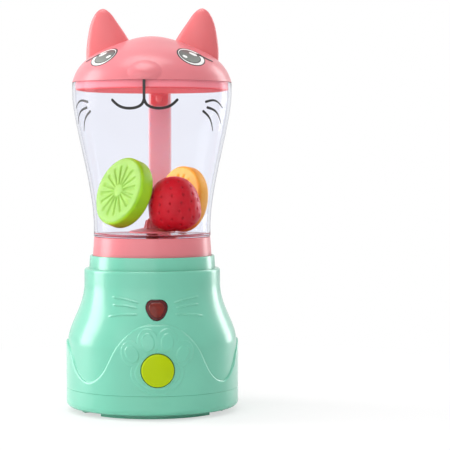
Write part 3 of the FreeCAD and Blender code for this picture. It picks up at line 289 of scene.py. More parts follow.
def spline(stops, count, start_way=None, end_way=None):
    """Points of a cubic curve through stops, with its end directions given or free."""
    stops = np.array(stops, float)
    gaps = np.linalg.norm(np.diff(stops, axis=0), axis=1)
    knots = np.concatenate([[0], np.cumsum(gaps)])
    n = len(stops)
    matrix = np.zeros((n, n))
    right = np.zeros_like(stops)
    for i in range(1, n - 1):
        matrix[i, i - 1] = gaps[i]
        matrix[i, i] = 2 * (gaps[i - 1] + gaps[i])
        matrix[i, i + 1] = gaps[i - 1]
        before = (stops[i] - stops[i - 1]) / gaps[i - 1]
        after = (stops[i + 1] - stops[i]) / gaps[i]
        right[i] = 3 * (gaps[i] * before + gaps[i - 1] * after)
    for row, way, nearest in ((0, start_way, 1), (n - 1, end_way, n - 2)):
        matrix[row, row] = 1
        if way is None:
            low, high = min(row, nearest), max(row, nearest)
            matrix[row, row] = 2
            matrix[row, nearest] = 1
            right[row] = 3 * (stops[high] - stops[low]) / gaps[low]
        else:
            right[row] = np.array(way) / np.linalg.norm(way)
    slopes = np.linalg.solve(matrix, right)
    made = []
    for place in np.linspace(0, knots[-1], count):
        i = min(np.searchsorted(knots, place, side="right") - 1, n - 2)
        t = (place - knots[i]) / gaps[i]
        made.append(hermite(t, gaps[i], stops[i], slopes[i], stops[i + 1], slopes[i + 1]))
    return np.array(made)


def way_along(points):
    """How far each point of a line is from its start."""
    return np.concatenate([[0], np.cumsum(np.linalg.norm(np.diff(points, axis=0), axis=1))])


def smooth_step(value, low, high):
    share = np.clip((value - low) / (high - low), 0, 1)
    return share * share * (3 - 2 * share)


def dress(piece, material, sharp=38.0):
    """One material and smooth shading, except at edges that turn by more than the sharp angle."""
    data = piece.data
    data.materials.clear()
    data.materials.append(material)
    data.polygons.foreach_set("use_smooth", [True] * len(data.polygons))
    data.set_sharp_from_angle(angle=radians(sharp))


def add_mesh(name, verts, faces, material, body, replaces=(), sharp=38.0):
    """A piece that rides on a body."""
    data = bpy.data.meshes.new(name)
    data.from_pydata([tuple(v) for v in verts], [], faces)
    data.validate()
    piece = bpy.data.objects.new(name, data)
    bpy.context.scene.collection.objects.link(piece)
    dress(piece, material, sharp)
    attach(piece, body)
    if replaces:
        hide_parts(*replaces)
    return piece


def second_material(piece, material, belongs):
    """Another material on the polygons that belong to it."""
    piece.data.materials.append(material)
    for polygon in piece.data.polygons:
        if belongs(polygon):
            polygon.material_index = 1


def around(count):
    """Each number below count with the next one, and the last with the first."""
    return [(k, (k + 1) % count) for k in range(count)]


def grid_faces(rows, columns, wrap=True):
    """Quads of a grid of vertices, whose last column may be joined to its first."""
    pairs = around(columns) if wrap else around(columns)[:-1]
    starts = [i * columns for i in range(rows - 1)]
    return [(i + k, i + m, i + columns + m, i + columns + k) for i in starts for k, m in pairs]


def shifted(faces, start):
    return [tuple(start + v for v in face) for face in faces]


def fan(start, count, tip):
    """Triangles from a ring of vertices to a tip."""
    return [(start + k, start + m, tip) for k, m in around(count)]


def lathe_mesh(points, segments):
    """Vertices and faces of a profile turned about the vertical axis."""
    verts, rings, faces = [], [], []
    for r, z in points:
        if r == 0:
            rings.append([len(verts)])
            verts.append((0, 0, z))
            continue
        rings.append(list(range(len(verts), len(verts) + segments)))
        for k in range(segments):
            a = 2 * pi * k / segments
            verts.append((r * cos(a), r * sin(a), z))
    for low, high in zip(rings, rings[1:]):
        for k, m in around(segments):
            if len(low) == 1:
                faces.append((low[0], high[m], high[k]))
            elif len(high) == 1:
                faces.append((low[k], low[m], high[0]))
            else:
                faces.append((low[k], low[m], high[m], high[k]))
    return verts, faces


def lathe(name, points, material, body, node, segments=256, move=Matrix()):
    """A turned piece that stands for a node."""
    verts, faces = lathe_mesh(points, segments)
    return add_mesh(name, [move @ Vector(v) for v in verts], faces, material, body, [node])


def facing(way, at):
    """The place of something built about the origin with its face up, turned to look a given way."""
    return Matrix.Translation(at) @ UP.rotation_difference(Vector(way)).to_matrix().to_4x4()


# ==== materials
def linear(rgb):
    return [c / 12.92 if c <= 0.04045 else ((c + 0.055) / 1.055) ** 2.4 for c in (v / 255 for v in rgb)]


def shade(rgb, share):
    """A colour made lighter or darker by a share."""
    return [min(1.0, c * share) for c in linear(rgb)]


class Tree:
    """A node tree, with short ways to add nodes and to link them."""

    def __init__(self, tree, output):
        self.tree = tree
        self.output = tree.nodes[output]

    def add(self, kind, **values):
        """A new node, with values for its own settings or for its inputs."""
        node = self.tree.nodes.new(kind)
        for key, value in values.items():
            if hasattr(node, key):
                setattr(node, key, value)
            else:
                node.inputs[key.replace("_", " ")].default_value = value
        return node

    def link(self, start, end):
        self.tree.links.new(start, end)

    def combine(self, operation, first, second):
        node = self.add("ShaderNodeMath", operation=operation)
        self.link(first, node.inputs[0])
        self.link(second, node.inputs[1])
        return node.outputs[0]

    def mix_shaders(self, factor, first, second):
        """The surface shows the first shader where the factor is 0 and the second where it is 1."""
        mix = self.add("ShaderNodeMixShader")
        self.link(factor, mix.inputs["Fac"])
        self.link(first.outputs[0], mix.inputs[1])
        self.link(second.outputs[0], mix.inputs[2])
        self.link(mix.outputs[0], self.output.inputs["Surface"])


class Nodes(Tree):
    """The node tree of a new material, with the object's own coordinates at hand."""

    def __init__(self, name):
        self.material = bpy.data.materials.new(name)
        self.material.use_nodes = True
        super().__init__(self.material.node_tree, "Material Output")
        self.shader = self.tree.nodes["Principled BSDF"]
        self.place = self.add("ShaderNodeTexCoord").outputs["Object"]

    def same(self, **values):
        """What is the same all over, on the shader's own sockets."""
        for key, value in values.items():
            self.shader.inputs[key.replace("_", " ")].default_value = value

    def noise(self, scale, detail=2.0, roughness=0.5):
        node = self.add("ShaderNodeTexNoise", Scale=scale, Detail=detail, Roughness=roughness)
        self.link(self.place, node.inputs["Vector"])
        return node.outputs["Fac"]

    def height(self):
        split = self.add("ShaderNodeSeparateXYZ")
        self.link(self.place, split.inputs[0])
        return split.outputs["Z"]

    def length(self, vector):
        node = self.add("ShaderNodeVectorMath", operation="LENGTH")
        self.link(vector, node.inputs[0])
        return node.outputs["Value"]

    def between(self, factor, low, high, start=0.3, end=0.7):
        """A number that runs from low to high as the factor runs from start to end."""
        node = self.add("ShaderNodeMapRange", From_Min=start, From_Max=end, To_Min=low, To_Max=high)
        self.link(factor, node.inputs["Value"])
        return node.outputs["Result"]

    def blend(self, factor, first, second):
        """One of two colours, or what lies between them, by a factor."""
        node = self.add("ShaderNodeMix", data_type="RGBA")
        for socket, value in zip((node.inputs[0], node.inputs[6], node.inputs[7]), (factor, first, second)):
            if isinstance(value, bpy.types.NodeSocket):
                self.link(value, socket)
            else:
                socket.default_value = (*value, 1) if socket.type == "RGBA" else value
        return node.outputs[2]

    def tones(self, pattern, first, second, start=0.3, end=0.7):
        """A colour that drifts between two tones by a pattern."""
        return self.blend(self.between(pattern, 0, 1, start, end), first, second)

    def paint(self, colour):
        self.link(colour, self.shader.inputs["Base Color"])

    def uneven_gloss(self, pattern, low, high):
        self.link(self.between(pattern, low, high), self.shader.inputs["Roughness"])

    def bump(self, pattern, strength, depth):
        node = self.add("ShaderNodeBump", Strength=strength, Distance=depth)
        self.link(pattern, node.inputs["Height"])
        self.link(node.outputs["Normal"], self.shader.inputs["Normal"])

    def soak_light(self, weight, radius, depth):
        self.same(Subsurface_Weight=weight, Subsurface_Radius=radius, Subsurface_Scale=depth)


def moulded(name, rgb, roughness, coat=0.0, glow=0.0, gloss=0.5, soak=2.5 * MM, second=None):
    """Injection-moulded plastic: faint flow marks in the colour, uneven gloss and a fine skin."""
    flow, unevenness, grain = 0.025, 0.02, 0.02 * MM
    nodes = Nodes(name)
    colour = nodes.tones(nodes.noise(34.0), shade(rgb, 1 - flow), shade(rgb, 1 + flow))
    nodes.paint(second(nodes, colour) if second else colour)
    nodes.uneven_gloss(nodes.noise(110.0), roughness - unevenness, roughness + unevenness)
    nodes.bump(nodes.noise(500.0), 0.05, grain)
    nodes.same(IOR=1.49, Specular_IOR_Level=gloss)
    if coat:
        nodes.same(Coat_Weight=coat, Coat_Roughness=0.16)
    if glow:
        nodes.soak_light(glow, (1.0, 0.6, 0.5), soak)
    return nodes.material


def metal(name, rgb, roughness, share):
    """Steel or sintered bronze; share says how much of it shines as metal."""
    nodes = Nodes(name)
    nodes.same(Metallic=share)
    nodes.paint(nodes.tones(nodes.noise(220.0, 4.0), shade(rgb, 0.9), shade(rgb, 1.06)))
    nodes.uneven_gloss(nodes.noise(900.0, 3.0), roughness - 0.06, roughness + 0.1)
    nodes.bump(nodes.noise(3200.0, 1.0), 0.2, 0.03 * MM)
    return nodes.material


def clear_plastic(name, rgb, grazing):
    """Clear moulded styrene that lets the lamps through and darkens where one looks along the wall."""
    shadow_rgb, inside_rgb, density = (254, 254, 255), (196, 200, 220), 14.0
    nodes = Nodes(name)
    body_colour = nodes.tones(nodes.noise(30.0), shade(rgb, 0.985), shade(rgb, 1.0))
    look = nodes.add("ShaderNodeLayerWeight", Blend=0.5).outputs["Facing"]
    nodes.paint(nodes.tones(look, body_colour, linear(grazing), 0.78, 0.93))
    nodes.uneven_gloss(nodes.noise(300.0, 3.0), 0.01, 0.04)
    nodes.bump(nodes.noise(60.0), 0.05, 0.05 * MM)
    nodes.same(Transmission_Weight=1.0, IOR=1.09)
    let_through = nodes.add("ShaderNodeBsdfTransparent", Color=(*linear(shadow_rgb), 1))
    path = nodes.add("ShaderNodeLightPath")
    nodes.mix_shaders(path.outputs["Is Shadow Ray"], nodes.shader, let_through)
    inside = nodes.add("ShaderNodeVolumeAbsorption", Color=(*linear(inside_rgb), 1), Density=density)
    nodes.link(inside.outputs[0], nodes.output.inputs["Volume"])
    return nodes.material


def lens_plastic(name, rgb):
    """Deep red translucent lens."""
    nodes = Nodes(name)
    nodes.paint(nodes.tones(nodes.noise(240.0, 3.0), shade(rgb, 0.75), shade(rgb, 1.3)))
    nodes.uneven_gloss(nodes.noise(500.0), 0.12, 0.22)
    nodes.same(Specular_IOR_Level=0.2, Coat_Weight=0.2, Coat_Roughness=0.05)
    return nodes.material


def fruit_skin(name, rgb, dark, roughness=0.42):
    """Soft-touch play food: two tones, fine pores."""
    nodes = Nodes(name)
    nodes.paint(nodes.tones(nodes.noise(90.0, 4.0, 0.6), linear(rgb), linear(dark), 0.35, 0.75))
    nodes.uneven_gloss(nodes.noise(400.0, 3.0), roughness - 0.06, roughness + 0.08)
    nodes.bump(nodes.noise(900.0, 3.0), 0.25, 0.12 * MM)
    nodes.same(Specular_IOR_Level=0.2)
    nodes.soak_light(0.25, (1.0, 0.7, 0.4), 2.0 * MM)
    return nodes.material


def print_ink(name, rgb):
    """Pad-printed ink, not quite even."""
    nodes = Nodes(name)
    nodes.paint(nodes.tones(nodes.noise(700.0, 3.0), shade(rgb, 0.9), shade(rgb, 1.08)))
    nodes.uneven_gloss(nodes.noise(300.0), 0.3, 0.43)
    return nodes.material


def iris_ink(name, low_z, top_z):
    """Grey print that grows paler towards the lower edge of the iris, with faint specks."""
    nodes = Nodes(name)
    tone = nodes.tones(nodes.height(), linear((154, 160, 152)), linear((56, 57, 60)), low_z, top_z)
    speck = nodes.tones(nodes.noise(900.0, 3.0), linear((98, 101, 98)), linear((122, 125, 120)))
    nodes.paint(nodes.blend(0.25, tone, speck))
    nodes.same(Roughness=0.3)
    return nodes.material


def handle_root_shade(nodes, colour):
    """Painted shade: deeper colour on the root of the handle, where it meets the wall of the jar."""
    flat = nodes.add("ShaderNodeVectorMath", operation="MULTIPLY")
    flat.inputs[1].default_value = (1, 1, 0)
    nodes.link(nodes.place, flat.inputs[0])
    reach = nodes.length(flat.outputs[0])
    # painted shade on the root
    root = nodes.between(reach, 1, 0, *handle_root_shade_reach)
    return nodes.blend(root, colour, linear((250, 124, 126)))


def liner_foot_shade(nodes, colour):
    """Painted shade: deeper colour on the underside of the liner."""
    low, high = liner_foot_shade_h
    foot = nodes.between(nodes.height(), 1, 0, liner_z + low, liner_z + high)
    return nodes.blend(foot, colour, linear((250, 98, 102)))


mint = moulded("mint_plastic", (109, 194, 167), 0.3, coat=0.5, glow=0.08)
pink = moulded("pink_plastic", (223, 124, 132), 0.34, coat=0.18, glow=0.1, gloss=0.4)
# the handle's pink is painted lighter than the lid's as painted light, with painted shade on its root
lit_handle_pink = moulded("handle_lit_pink_plastic", (255, 190, 194), 0.34, 0.0, 1.0, 0.3, 8.0 * MM, handle_root_shade)
# the coral finish is the lid's pink painted darker and more saturated, as painted shade on the ears
coral = moulded("shaded_pink_plastic", (228, 114, 118), 0.36, coat=0.06, glow=0.12)
# the liner's underside carries a painted shade
liner_coral = moulded("liner_plastic", (246, 140, 146), 0.6, glow=0.12, gloss=0.06, second=liner_foot_shade)
# a deeper coral as painted shade on the seat under the jar
seat_shade_coral = moulded("coral_seat_shade_plastic", (214, 70, 84), 0.36)
lime_plastic = moulded("lime_plastic", (174, 196, 0), 0.36, glow=0.06, gloss=0.15)
white_plastic = moulded("white_plastic", (236, 236, 232), 0.4)
black_plastic = moulded("black_plastic", (34, 34, 36), 0.45)
board_green = moulded("board_lacquer", (40, 96, 62), 0.3)
cell_wrap = moulded("cell_sleeve", (70, 80, 92), 0.25)
steel = metal("bright_steel", (196, 198, 200), 0.28, 1.0)
bronze = metal("sintered_bronze", (232, 128, 104), 0.55, 0.15)
clear = clear_plastic("clear_plastic", (248, 249, 254), (150, 154, 162))
lens_red = lens_plastic("lens_red", (112, 26, 14))
# a darker red as painted shade round the lens's edge
lens_edge_shade = lens_plastic("lens_border_shade", (80, 12, 14))
lime_flesh = fruit_skin("lime_flesh", (141, 183, 69), (127, 172, 54))
lime_peel = fruit_skin("lime_peel", (158, 204, 30), (132, 184, 22))
berry_red = fruit_skin("berry_red", (200, 14, 32), (172, 8, 24), 0.36)
# a darker red as painted shade in the seed pits
berry_pit_shade = fruit_skin("berry_pit_shade", (112, 8, 24), (92, 6, 20), 0.5)
orange_flesh = fruit_skin("orange_flesh", (239, 177, 70), (232, 161, 50))
black_ink = print_ink("black_ink", (22, 20, 22))
white_ink = print_ink("white_ink", (246, 246, 244))
grey_ink = iris_ink("grey_ink", lid_z + iris_pale_h, lid_z + iris_dark_h)

slot_material = dict(
    mint=mint, pink=pink, coral=coral, clear=clear, lens_red=lens_red, lime_button=lime_plastic,
    lime_fruit=lime_peel, berry_red=berry_red, orange_fruit=orange_flesh, white_plastic=white_plastic,
    black_plastic=black_plastic, board_green=board_green, steel=steel, bronze=bronze, cell_wrap=cell_wrap,
)
own_material = dict(jar_handle=lit_handle_pink, lid_liner=liner_coral)


def dress_nodes():
    """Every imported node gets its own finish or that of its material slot."""
    slots = {part["node"]: part["material_slot"] for part in frame["record"]["subparts"]}
    for name, piece in frame["nodes"].items():
        dress(piece, own_material.get(name, slot_material[slots[name]]))


# ==== base
side = Profile(body_r, seam_z).line(body_r, hip_z)
side.bezier(hip_pull, neck_pull, neck_r, neck_z, 60).line(neck_r, shoulder_z)
side_points = np.array(side.points)


def body_radius(z):
    """Radius of the side of the housing above the wavy step."""
    return np.interp(z, side_points[:, 1], side_points[:, 0])


def wave_height(degrees):
    """Height of the wavy step at an angle from the front."""
    half = wave + [(180 - a, h) for a, h in reversed(wave[:-1])]
    whole = half + [(360 - a, h) for a, h in reversed(half[1:-1])]
    stops = [(a + turn, h) for turn in (-360, 0, 360) for a, h in whole]
    angles = np.array([a for a, h in stops])
    heights = np.array([h for a, h in stops]) * MM
    slopes = np.gradient(heights, angles)
    near = np.clip(np.searchsorted(angles, degrees) - 1, 0, len(angles) - 2)
    span = angles[near + 1] - angles[near]
    t = (degrees - angles[near]) / span
    return hermite(t, span, heights[near], slopes[near], heights[near + 1], slopes[near + 1])


def distance_to_ellipse(x, z, centre, half_w, half_h, lean):
    """Roughly how far points lie outside an ellipse that leans by an angle."""
    c, s = cos(radians(lean)), sin(radians(lean))
    u = (x - centre[0]) * c + (z - centre[1]) * s
    v = (z - centre[1]) * c - (x - centre[0]) * s
    length = np.hypot(u / half_w, v / half_h)
    slope = np.hypot(u / half_w ** 2, v / half_h ** 2) / np.maximum(length, 1e-6)
    return (length - 1) / np.maximum(slope, 1e-6)


def paw_relief(x, z):
    """Height of the raised paw and of its lower border at points of the front, x along the surface."""
    pad_z, half_w, half_h = paw_pad
    gap = distance_to_ellipse(x, z, (0, pad_z * MM), half_w * MM, half_h * MM, 0)
    for angle, height, half_w, half_h, lean in toes:
        for way in (-1, 1):
            centre = (way * radians(angle) * (body_r + proud), height * MM)
            toe = distance_to_ellipse(x, z, centre, half_w * MM, half_h * MM, way * lean)
            gap = np.minimum(gap, toe)
    rise = paw_rise * (1 - smooth_step(gap, -paw_edge, paw_edge))
    return rise + paw_rise * (1 - smooth_step(gap - paw_border, -paw_edge, paw_edge))


def whisker_relief(degrees, z):
    """Height of the raised whiskers beside the lens."""
    total = np.zeros(z.shape)
    for (near_a, near_z), (far_a, far_z) in base_whiskers:
        share = (np.abs(degrees) - near_a) / (far_a - near_a)
        inside = smooth_step(share, *whisker_start) * (1 - smooth_step(share, *whisker_end))
        bow = whisker_bow * share * (1 - share)
        gap = np.abs(z - (near_z + (far_z - near_z) * share + bow) * MM)
        total = np.maximum(total, inside * np.exp(-(gap / whisker_half) ** 2))
    return whisker_rise * total


# angles of the housing's grid: close together at the front, where the relief is, and wider behind
front_degrees = np.arange(-42, 42.001, 0.25)
back_degrees = np.arange(42.9, 317.2, 0.9)
relief_degrees = 41
lower_rows = 170
upper_rows = 150
steepest = 3            # where the wave is steeper than this, its edge grows no wider
rim_reach = 0.2 * MM    # rows this near to the button's hole are drawn onto its edge


def make_housing():
    """The housing: lower shell, wavy step, paw, whiskers and the holes for button and lens."""
    angles = np.radians(np.concatenate([front_degrees, back_degrees]))
    degrees = np.degrees(angles)
    degrees = np.where(degrees > 180, degrees - 360, degrees)
    crest = wave_height(degrees)
    slope = np.gradient(crest, angles) / body_r
    steep = np.sqrt(1 + np.clip(np.abs(slope), 0, steepest) ** 2)

    rows, offsets = [], []

    def add_row(height, offset):
        rows.append(height)
        offsets.append(np.full(len(angles), offset))

    # from the seam to the step, over its rounded edge and the hollow above it, then up to the shoulder
    top = crest - edge_round * MM * steep
    for t in np.linspace(0, 1, lower_rows):
        add_row(seam_z + (top - seam_z) * t, proud)
    for turn in np.radians(np.linspace(0, 90, 9))[1:]:
        share = edge_share + (1 - edge_share) * cos(turn)
        add_row(crest - edge_round * (1 - sin(turn)) * MM * steep, proud * share)
    for rise, share in edge_hollow:
        add_row(crest + rise * MM * steep, proud * share)
    low = rows[-1]
    end = shoulder_z - shoulder_round
    for t in np.linspace(0, 1, upper_rows)[1:]:
        add_row(low + (end - low) * t, 0.0)

    z = np.array(rows)
    offset = np.array(offsets)
    turned = np.broadcast_to(degrees, z.shape)
    in_front = np.abs(turned) < relief_degrees
    paw = paw_relief(np.radians(turned) * (body_r + proud), z) * smooth_step(crest - z, *paw_fade)
    offset = offset + np.where(in_front & (offset > 0.9 * proud), paw, 0)
    offset = offset + np.where(in_front & (offset == 0), whisker_relief(turned, z), 0)
    radius = body_radius(z) + offset
    x = radius * np.sin(angles)
    y = -radius * np.cos(angles)

    # the hole for the button: the grid is drawn onto its round edge, and what lies inside is sunk
    facing_front = y < 0
    from_button = np.hypot(x, z - button_z)
    near_rim = facing_front & (np.abs(from_button - button_hole_r) < rim_reach)
    scale = np.where(near_rim, button_hole_r / np.maximum(from_button, 1e-9), 1.0)
    x = x * scale
    z = np.where(near_rim, button_z + (z - button_z) * scale, z)
    inside = facing_front & (from_button < button_hole_r - rim_reach)
    y = np.where(inside, y + button_hole_depth, y)
    # the recess for the lens
    recess = facing_front & (shield_distance(x, z) < nose_margin)
    y = np.where(recess, y + nose_depth, y)

    count = len(angles)
    verts = list(np.stack([x, y, z], axis=-1).reshape(-1, 3))
    faces = grid_faces(len(rows), count)
    # the rounded shoulder and the ledge inside it, then the edge that is turned in at the seam
    rim = Profile(neck_r, end).quarter(neck_r - shoulder_round, shoulder_z, steps=8)
    rim.line(ring_r + fit_gap, shoulder_z).line(ring_r + fit_gap, shoulder_z - wall)
    faces += shifted(grid_faces(len(rim.points), count), (len(rows) - 1) * count)
    for r, height in rim.points[1:] + [(body_r - wall, seam_z)]:
        verts += [(r * sin(a), -r * cos(a), height) for a in angles]
    last = len(verts) - count
    faces += [(last + k, last + m, m, k) for k, m in around(count)]
    add_mesh("housing_shell", verts, faces, mint, "base", ["housing"], sharp=60.0)


def shield_points(scale, count):
    """The outline of the lens as points (x, z)."""
    whole = nose_shape + [(-x, z) for x, z in reversed(nose_shape[1:-1])]
    ring = [(x * nose_w * scale, nose_z + z * nose_h * scale) for x, z in whole]
    return spline(ring + [ring[0]], count + 1, (1, 0), (1, 0))[:-1]


def shield_distance(x, z):
    """How far points lie outside the outline of the lens, measured from its middle."""
    ring = shield_points(1.0, 144)
    turn = np.arctan2(ring[:, 1] - nose_z, ring[:, 0])
    reach = np.hypot(ring[:, 0], ring[:, 1] - nose_z)
    order = np.argsort(turn)
    edge = np.interp(np.arctan2(z - nose_z, x), turn[order], reach[order], period=2 * pi)
    return np.hypot(x, z - nose_z) - edge


def make_nose_lens():
    """The red lens: rounded rim, raised inner shield, set a little proud."""
    count = 96
    verts = []
    for scale, rise in nose_rings:
        for x, z in shield_points(scale * (1 - fit_gap / nose_w), count):
            r = body_radius(z) + rise * MM
            verts.append((x, -math.sqrt(r ** 2 - x ** 2), z))
    last = (len(nose_rings) - 1) * count
    faces = grid_faces(len(nose_rings), count) + [tuple(range(last, last + count))]
    lens = add_mesh("nose_lens_cap", verts, faces, lens_red, "base", ["nose_lens"], sharp=50.0)
    # painted shade: darker red on the outer rings of the lens
    second_material(lens, lens_edge_shade, lambda polygon: min(polygon.vertices) < nose_border_rings * count)


def make_button():
    """The round cap with its domed face, turned lying down and then set upright in its hole."""
    low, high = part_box("button_cap")
    front = -low.y
    edge = front - button_dome - button_round
    back = -high.y
    face_r = button_r - button_round
    profile = Profile(0, back).line(button_r, back).line(button_r, edge)
    profile.quarter(face_r, edge + button_round, steps=8)
    steps = 12
    for i in range(1, steps + 1):
        t = i / steps
        profile.line(face_r * (1 - t), edge + button_round + button_dome * (1 - (1 - t) ** 2))
    move = facing(-BACK, Vector((0, 0, button_z)))
    lathe("button_face", profile.points, lime_plastic, "button", "button_cap", 128, move)


def make_socket_ring():
    """The ring that takes the collar, with its deck and a lead-in at the top."""
    profile = Profile(0, deck_z).line(ring_hole_r, deck_z).line(ring_hole_r, ring_top - ring_lead)
    profile.quarter(ring_hole_r + ring_lead, ring_top, steps=4)
    profile.line(ring_r - ring_draft - ring_round, ring_top)
    profile.quarter(ring_r - ring_draft, ring_top - ring_round, upright=False)
    profile.line(ring_r, shoulder_z).line(ring_r, shoulder_z - wall)
    lathe("socket_ring", profile.points, mint, "base", "jar_socket")


# ==== jar
def jar_profile(offset, low, high):
    """The side of the jar between two heights, moved outwards by an offset."""
    profile = Profile(jar_foot_r + offset, low).line(jar_foot_r + offset, jar_z + jar_foot_h)
    profile.bezier(jar_foot_pull, jar_rim_pull, jar_rim_r + offset, jar_top - jar_straight, 48)
    profile.line(jar_rim_r + offset, high)
    return profile.points


def make_jar():
    """The clear jar: one wall from the floor's underside up, over the rim and down to the floor."""
    rim_z = jar_top - jar_rim_round
    foot = Profile(0, jar_z).line(jar_foot_r - jar_foot_round, jar_z)
    foot.quarter(jar_foot_r, jar_z + jar_foot_round, upright=False)
    points = foot.points + jar_profile(0, jar_z + jar_foot_h, rim_z)[1:]
    rim = Profile(*points[-1]).quarter(jar_rim_r - jar_rim_round, jar_top, steps=3)
    rim.line(jar_rim_r - jar_wall + jar_rim_round, jar_top)
    rim.quarter(jar_rim_r - jar_wall, rim_z, upright=False, steps=3)
    points += rim.points[1:]
    inner = jar_profile(-jar_wall, jar_z + jar_wall + jar_floor_round, rim_z)
    points += inner[-2::-1]
    floor = Profile(*points[-1])
    floor.quarter(jar_foot_r - jar_wall - jar_floor_round, jar_z + jar_wall, steps=5)
    points += floor.line(0, jar_z + jar_wall).points[1:]
    lathe("jar_shell", points, clear, "jar", "jar")


class Skin:
    """A turned surface on which prints are laid, by angle from the face and distance up the side."""

    def __init__(self, points):
        self.points = np.array(points, float)
        self.way = way_along(self.points)

    def along(self, z):
        return float(np.interp(z, self.points[:, 1], self.way))

    def section(self, along):
        """Radius and height at a distance along the section."""
        return [np.interp(along, self.way, self.points[:, i]) for i in (0, 1)]

    def at(self, degrees, along, lift):
        """The point at an angle from the face and a distance along the section, lifted off the surface."""
        r, z = self.section(along)
        step = 0.5 * MM
        dr, dz = np.subtract(self.section(along + step), self.section(along - step))
        length = math.hypot(dr, dz)
        r, z = r + lift * dz / length, z - lift * dr / length
        a = radians(degrees + face_turn)
        return Vector((r * sin(a), -r * cos(a), z))


def stroke(name, skin, stops, width, body, lift=ink_lift, taper=1.0):
    """A black line through stops, given as angle and distance along the section, with round ends."""
    middle = float(skin.section(np.mean([along for angle, along in stops]))[0])
    flat = [(radians(angle) * middle, along) for angle, along in stops]
    length = sum(math.dist(p, q) for p, q in zip(flat, flat[1:]))
    count = max(12, int(length / (0.6 * MM)))
    line = spline(flat, count)
    way = np.gradient(line, axis=0)
    way /= np.linalg.norm(way, axis=1)[:, None]
    normal = np.stack([-way[:, 1], way[:, 0]], axis=1)
    half = np.linspace(width / 2, width / 2 * taper, count)
    cap = 5
    turns = [pi / 2 * i / cap for i in range(1, cap + 1)]
    rows = [(line[0] - way[0] * half[0] * sin(t), normal[0] * half[0] * cos(t)) for t in reversed(turns)]
    rows += [(line[i], normal[i] * half[i]) for i in range(count)]
    rows += [(line[-1] + way[-1] * half[-1] * sin(t), normal[-1] * half[-1] * cos(t)) for t in turns]
    verts = []
    for centre, out in rows:
        for share in (-1, 0, 1):
            p = centre + out * share
            verts.append(skin.at(math.degrees(p[0] / middle), p[1], lift))
    faces = grid_faces(len(rows), 3, wrap=False)
    add_mesh(name, verts, faces, black_ink, body, sharp=80.0)


def patch(name, skin, centre, half_w, half_h, lean, ink, body, lift):
    """A printed ellipse; lean turns it from level towards upright, away from the face."""
    angle, along = centre
    radius = float(skin.section(along)[0])
    outwards = math.copysign(1, angle)
    rings, count = 14, 64
    c, s = cos(radians(lean)), sin(radians(lean))
    verts = [skin.at(angle, along, lift)]
    for ring in range(1, rings + 1):
        for k in range(count):
            t = 2 * pi * k / count
            u, v = half_w * cos(t) * ring / rings, half_h * sin(t) * ring / rings
            across, up = u * c - v * s, u * s + v * c
            verts.append(skin.at(angle + outwards * math.degrees(across / radius), along + up, lift))
    faces = fan(1, count, 0) + shifted(grid_faces(rings, count), 1)
    if angle < 0:
        faces = [tuple(reversed(face)) for face in faces]
    add_mesh(name, verts, faces, ink, body, sharp=80.0)


def make_jar_prints():
    """The mouth and the cheek whiskers."""
    skin = Skin(jar_profile(0, jar_z, jar_top))

    def line(name, stops, way, width, lift=ink_lift, taper=1.0):
        places = [(way * angle, skin.along(jar_z + height * MM)) for angle, height in stops]
        stroke(name, skin, places, width, "jar", lift, taper)

    line("mouth_line", lip, 1, mouth_w)
    for way, side_name in ((-1, "left"), (1, "right")):
        line("mouth_" + side_name, mouth_side, way, mouth_w, mouth_side_lift)
        for i, whisker in enumerate(jar_whiskers):
            line(f"whisker_{side_name}_{i + 1}", whisker, way, jar_whisker_w, taper=0.45)


def make_collar():
    """The pink collar, from its lower edge in the socket to the foot of the jar."""
    top_r = collar_r - collar_draft
    inner_r = collar_r - collar_wall
    profile = Profile(0, collar_z + collar_floor).line(inner_r, collar_z + collar_floor)
    profile.line(inner_r, collar_z).line(collar_r, collar_z).line(collar_r, ring_top)
    profile.line(top_r, jar_z - collar_round).quarter(top_r - collar_round, jar_z, steps=4)
    profile.line(seat_r, jar_z).line(seat_r, jar_z + seat_rise).line(0, jar_z + seat_rise)
    collar = lathe("collar", profile.points, pink, "jar", "jar_base")
    verts = collar.data.vertices
    # painted shade: deeper coral on the seat and on the top face that it stands on
    seat_z = jar_z - seat_rise / 2
    second_material(
        collar, seat_shade_coral, lambda polygon: min(verts[i].co.z for i in polygon.vertices) > seat_z,
    )


# ==== lid
face_rotation = Matrix.Rotation(radians(face_turn), 3, "Z")


def dome_points(rim_r, height, low, count):
    """The section of a dome from its rim to its top."""
    stops = [(rim_r * r, low + height * h) for r, h in dome_shape]
    points = spline(stops, count, (-0.3, 1.0), (-1.0, 0.0))
    points[-1][0] = 0
    return [tuple(p) for p in points]


def make_lid():
    """The dome with the nose bump raised out of it, and its inner face."""
    segments = 480
    outer, faces = lathe_mesh(dome_points(jar_rim_r, dome_top - lid_z, lid_z, 110), segments)
    verts = []
    for v in outer:
        local = face_rotation.inverted() @ Vector(v)
        share = (local.x / (snout_w / 2)) ** 2 + ((local.z - lid_z - snout_up) / (snout_h / 2)) ** 2
        if local.y < 0 and share < 1:
            local.y -= snout_rise * (1 - share) ** snout_fullness
        verts.append(face_rotation @ local)
    start = len(verts)
    section = dome_points(jar_rim_r - lid_wall, dome_top - lid_z - lid_wall, lid_z, 72)
    inner, inner_faces = lathe_mesh(section[::-1], segments)
    verts += inner
    faces += shifted(inner_faces, start)
    ring = len(verts) - segments
    faces += [(k, ring + k, ring + m, m) for k, m in around(segments)]
    add_mesh("lid_dome", verts, faces, pink, "lid", ["lid_shell"], sharp=50.0)


